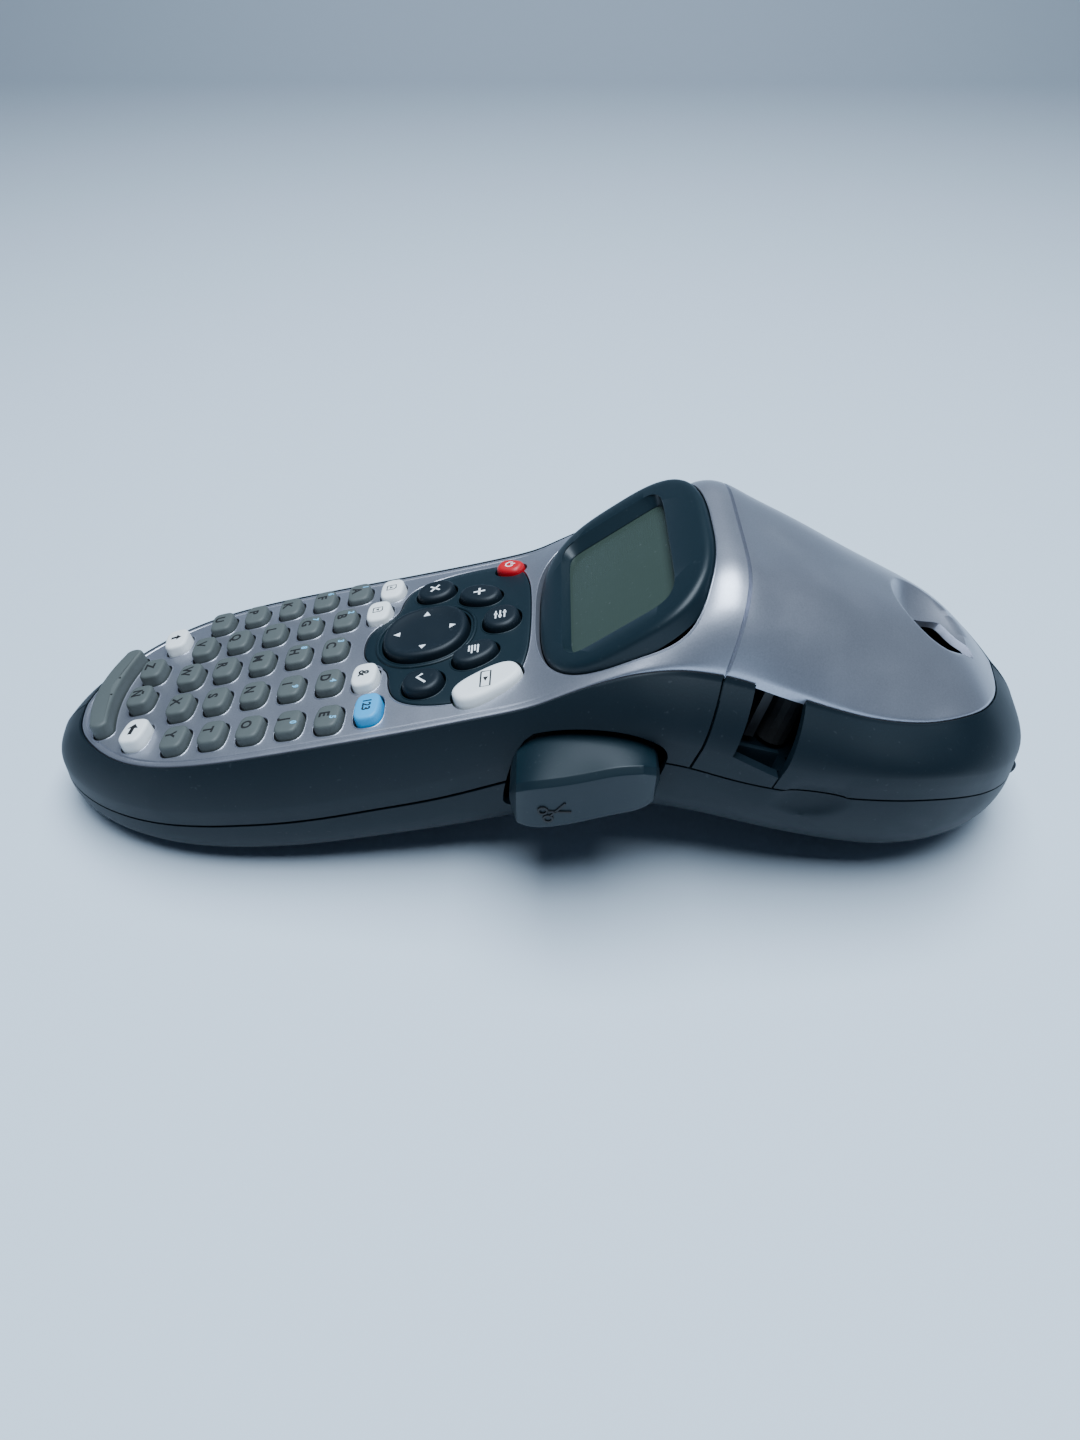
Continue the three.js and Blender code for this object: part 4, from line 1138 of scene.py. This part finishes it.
def make_lid():
    """Tape lid: silver roof with the thumb hollow, dark skirt under a fine shadow line."""
    sheet = skin_sheet(edge_rows(False, 46), (lid_front, 0.4, None, 0), 240, dished)
    roof = wall(sheet, SILVER, (150, 0, -40), sinking((0.585, 0, 0.811), 1.6))
    window = super_ellipse(3.9, 6.4, 5, 48, 0.3, (2.2, -2.4))
    boolean(roof, prism(window, -12, 6, SCOOP_TILT, SCOOP_AT))
    sheet = side_sheet(rim_rows(18) + SEAM_EDGE, (cheek_edge, 0.35, None, 0), 130, notch)
    skirt = wall(sheet, DARK, (150, 0, 20), inwards(WALL))
    for y0 in (-11.7, 8.1):
        boolean(skirt, rod(2.7, y0, y0 + 3.6))
    knuckle = rod(2.4, -8, 8, hole=1.3)
    made = joined("tape_lid", [smooth(roof), smooth(skirt), knuckle])
    keep(made, "cassette_door", "silver_shell", "cassette_door")


SLOT = [(136.4, 37.1), (139.9, 47), (143, 60), (158, 60), (152, 43), (147.4, 31.2), (143.8, 33.0)]


def make_bay():
    """Dark cheeks with the tape slot, and the tray under the tape."""
    sheet = side_sheet(rim_rows(16) + SEAM_EDGE, (lid_front, 0.1, cheek_edge, 0), 26)
    cheeks = wall(sheet, DARK, (120, 0, 20), inwards(WALL + 0.2))
    boolean(cheeks, side_prism(SLOT, -60, -20))
    tray = frame["nodes"]["bay_frame"].copy()
    tray.data = tray.data.copy()
    tray.parent = None
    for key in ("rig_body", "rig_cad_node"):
        del tray[key]
    tray.name = "tray"
    tray.data.materials.clear()
    tray.data.materials.append(DARK)
    bpy.context.scene.collection.objects.link(tray)
    cleaned(tray, 0.01)
    boolean(tray, block((120, 200), (-31.2, 31.2), (5, 60)), "INTERSECT")
    keep(joined("tape_bay", [smooth(cheeks), smooth(tray, 25)]), "housing", "dark_shell", "bay_frame")


# Sections of the push lever along X: height at the wall, ridge and foot as distance out and height.
LEVER = [(97.0, 31.2, (36.2, 29.6), (35.4, 23.6)), (98.4, 34.0, (39.0, 32.2), (38.0, 22.0)),
         (101, 36.0, (40.0, 33.8), (39.1, 21.6)), (106, 37.5, (40.2, 34.7), (39.2, 22.2)),
         (111, 38.3, (40.2, 35.9), (39.2, 23.7)), (116, 38.7, (40.0, 37.3), (38.9, 25.1)),
         (120.6, 38.1, (39.7, 37.3), (38.2, 25.4)), (123.0, 36.6, (38.6, 36.0), (37.0, 26.6)),
         (124.0, 34.4, (36.2, 33.6), (35.6, 29.4))]


def make_lever():
    """Push lever: sloping top, a ridge along the finger face, a foot at the bottom."""
    rings = []
    for x, top, ridge, foot in LEVER:
        rings.append(np.array([
            (x, -26.6, top - 0.5), (x, -31.5, top), (x, -ridge[0] + 1.0, ridge[1] + 0.5),
            (x, -ridge[0], ridge[1] - 0.7), (x, -(ridge[0] + foot[0]) / 2 + 0.15, (ridge[1] + foot[1]) / 2),
            (x, -foot[0], foot[1] + 1.2), (x, -foot[0] + 1.3, foot[1]), (x, -26.6, foot[1] + 0.6)]))
    lever = ring_stack("lever", rings, DARK_SATIN)
    crease = lever.modifiers.new("edge", "BEVEL")
    crease.width = 0.45 * MM
    crease.segments = 2
    crease.limit_method = "ANGLE"
    crease.angle_limit = math.radians(28)
    soft = lever.modifiers.new("soft", "SUBSURF")
    soft.levels = soft.render_levels = 3
    finished(lever)
    made = joined("cutter_lever_body", [smooth(lever, 45)] + scissors_mark())
    keep(made, "cutter_lever", "dark_panel", "cutter_lever")


def scissors_mark():
    """Small scissors on the lever's finger face, as dark raised lines."""
    lines = [arc(-1.45, 0.85, 0.6, 0, 360), arc(-1.45, -0.85, 0.6, 0, 360),
             [(-1.0, 0.5), (1.9, -0.95)], [(-1.0, -0.5), (1.9, 0.95)]]
    turn, size = math.radians(25), 1.35
    made = []
    for line in lines:
        points, faces = stroke(line, 0.28)
        x = 105.4 + size * (points[:, 0] * math.cos(turn) - points[:, 1] * math.sin(turn))
        z = 27.4 + size * (points[:, 0] * math.sin(turn) + points[:, 1] * math.cos(turn))
        outer = np.stack([x, -39.75 + 0.085 * (28 - z), z], -1)
        made.append(solid_sheet("mark", outer, faces, outer + np.array([0, 0.6, 0]), INK))
    return made


def finish_cad_nodes():
    """Inner pieces keep their solids and get a finish."""
    finishes = {"tape_cassette": TAPE_SHELL, "print_head": TAPE_SHELL, "platen_roller": ROLLER,
                "drive_pinion": ACETAL, "drive_motor": STEEL, "main_board": BOARD, "hinge_pin": STEEL,
                "cutter_blade": STEEL}
    for node, finish in finishes.items():
        made = frame["nodes"][node]
        made.data.materials.clear()
        made.data.materials.append(finish)


make_keys()
make_fascia()
make_panel()
make_bezel()
make_glass()
make_front_housing()
make_rear_housing()
make_lid()
make_bay()
make_lever()
finish_cad_nodes()


# ---- stage, lights and camera ----
def make_stage():
    """Pale floor that turns up into a wall behind the object."""
    back, radius, height, half = 1.2, 0.3, 0.32, 3.0
    line = [(-2.5, 0.0), (back - radius, 0.0)]
    for turn in np.linspace(0, math.pi / 2, 24)[1:]:
        line.append((back - radius + radius * math.sin(turn), radius * (1 - math.cos(turn))))
    line.append((back, height))
    points = [(x, y, z) for y, z in line for x in (-half, half)]
    faces = [(2 * i, 2 * i + 1, 2 * i + 3, 2 * i + 2) for i in range(len(line) - 1)]
    made = mesh_object("floor", points, faces, FLOOR, metres=True)
    made.data.shade_smooth()


def area_light(name, at, aim, size, power, color):
    light = bpy.data.lights.new(name, "AREA")
    light.shape = "RECTANGLE"
    light.size, light.size_y = size
    light.energy = power
    light.color = color
    made = linked(name, light)
    made.location = at
    made.rotation_mode = "QUATERNION"
    made.rotation_quaternion = (Vector(aim) - Vector(at)).to_track_quat("-Z", "Y")


FLOOR = material("floor_paper", (0.60, 0.68, 0.77), 0.75, tone=0.01, scale=300, bump=0.02,
                 smears=0.02, dust=0.0)
make_stage()
area_light("overhead", (0.05, -0.03, 0.8), (0, -0.03, 0), (0.9, 0.5), 18.5, (0.74, 0.87, 1.0))
world = bpy.data.worlds.new("soft_room")
world.use_nodes = True
set_inputs(world.node_tree.nodes["Background"], {"Color": (0.42, 0.58, 0.86, 1), "Strength": 0.13})
bpy.context.scene.world = world

AZIMUTH, ELEVATION = math.radians(0.65), math.radians(39.03)
camera = linked("camera", bpy.data.cameras.new("camera"))
camera.data.lens = 27.03
camera.data.clip_start = 0.01
back = Vector((math.sin(AZIMUTH) * math.cos(ELEVATION), -math.cos(AZIMUTH) * math.cos(ELEVATION),
               math.sin(ELEVATION)))
camera.location = place((104.26, -178.98, 161.48))
camera.rotation_mode = "QUATERNION"
camera.rotation_quaternion = (-back).to_track_quat("-Z", "Y")
bpy.context.scene.camera = camera
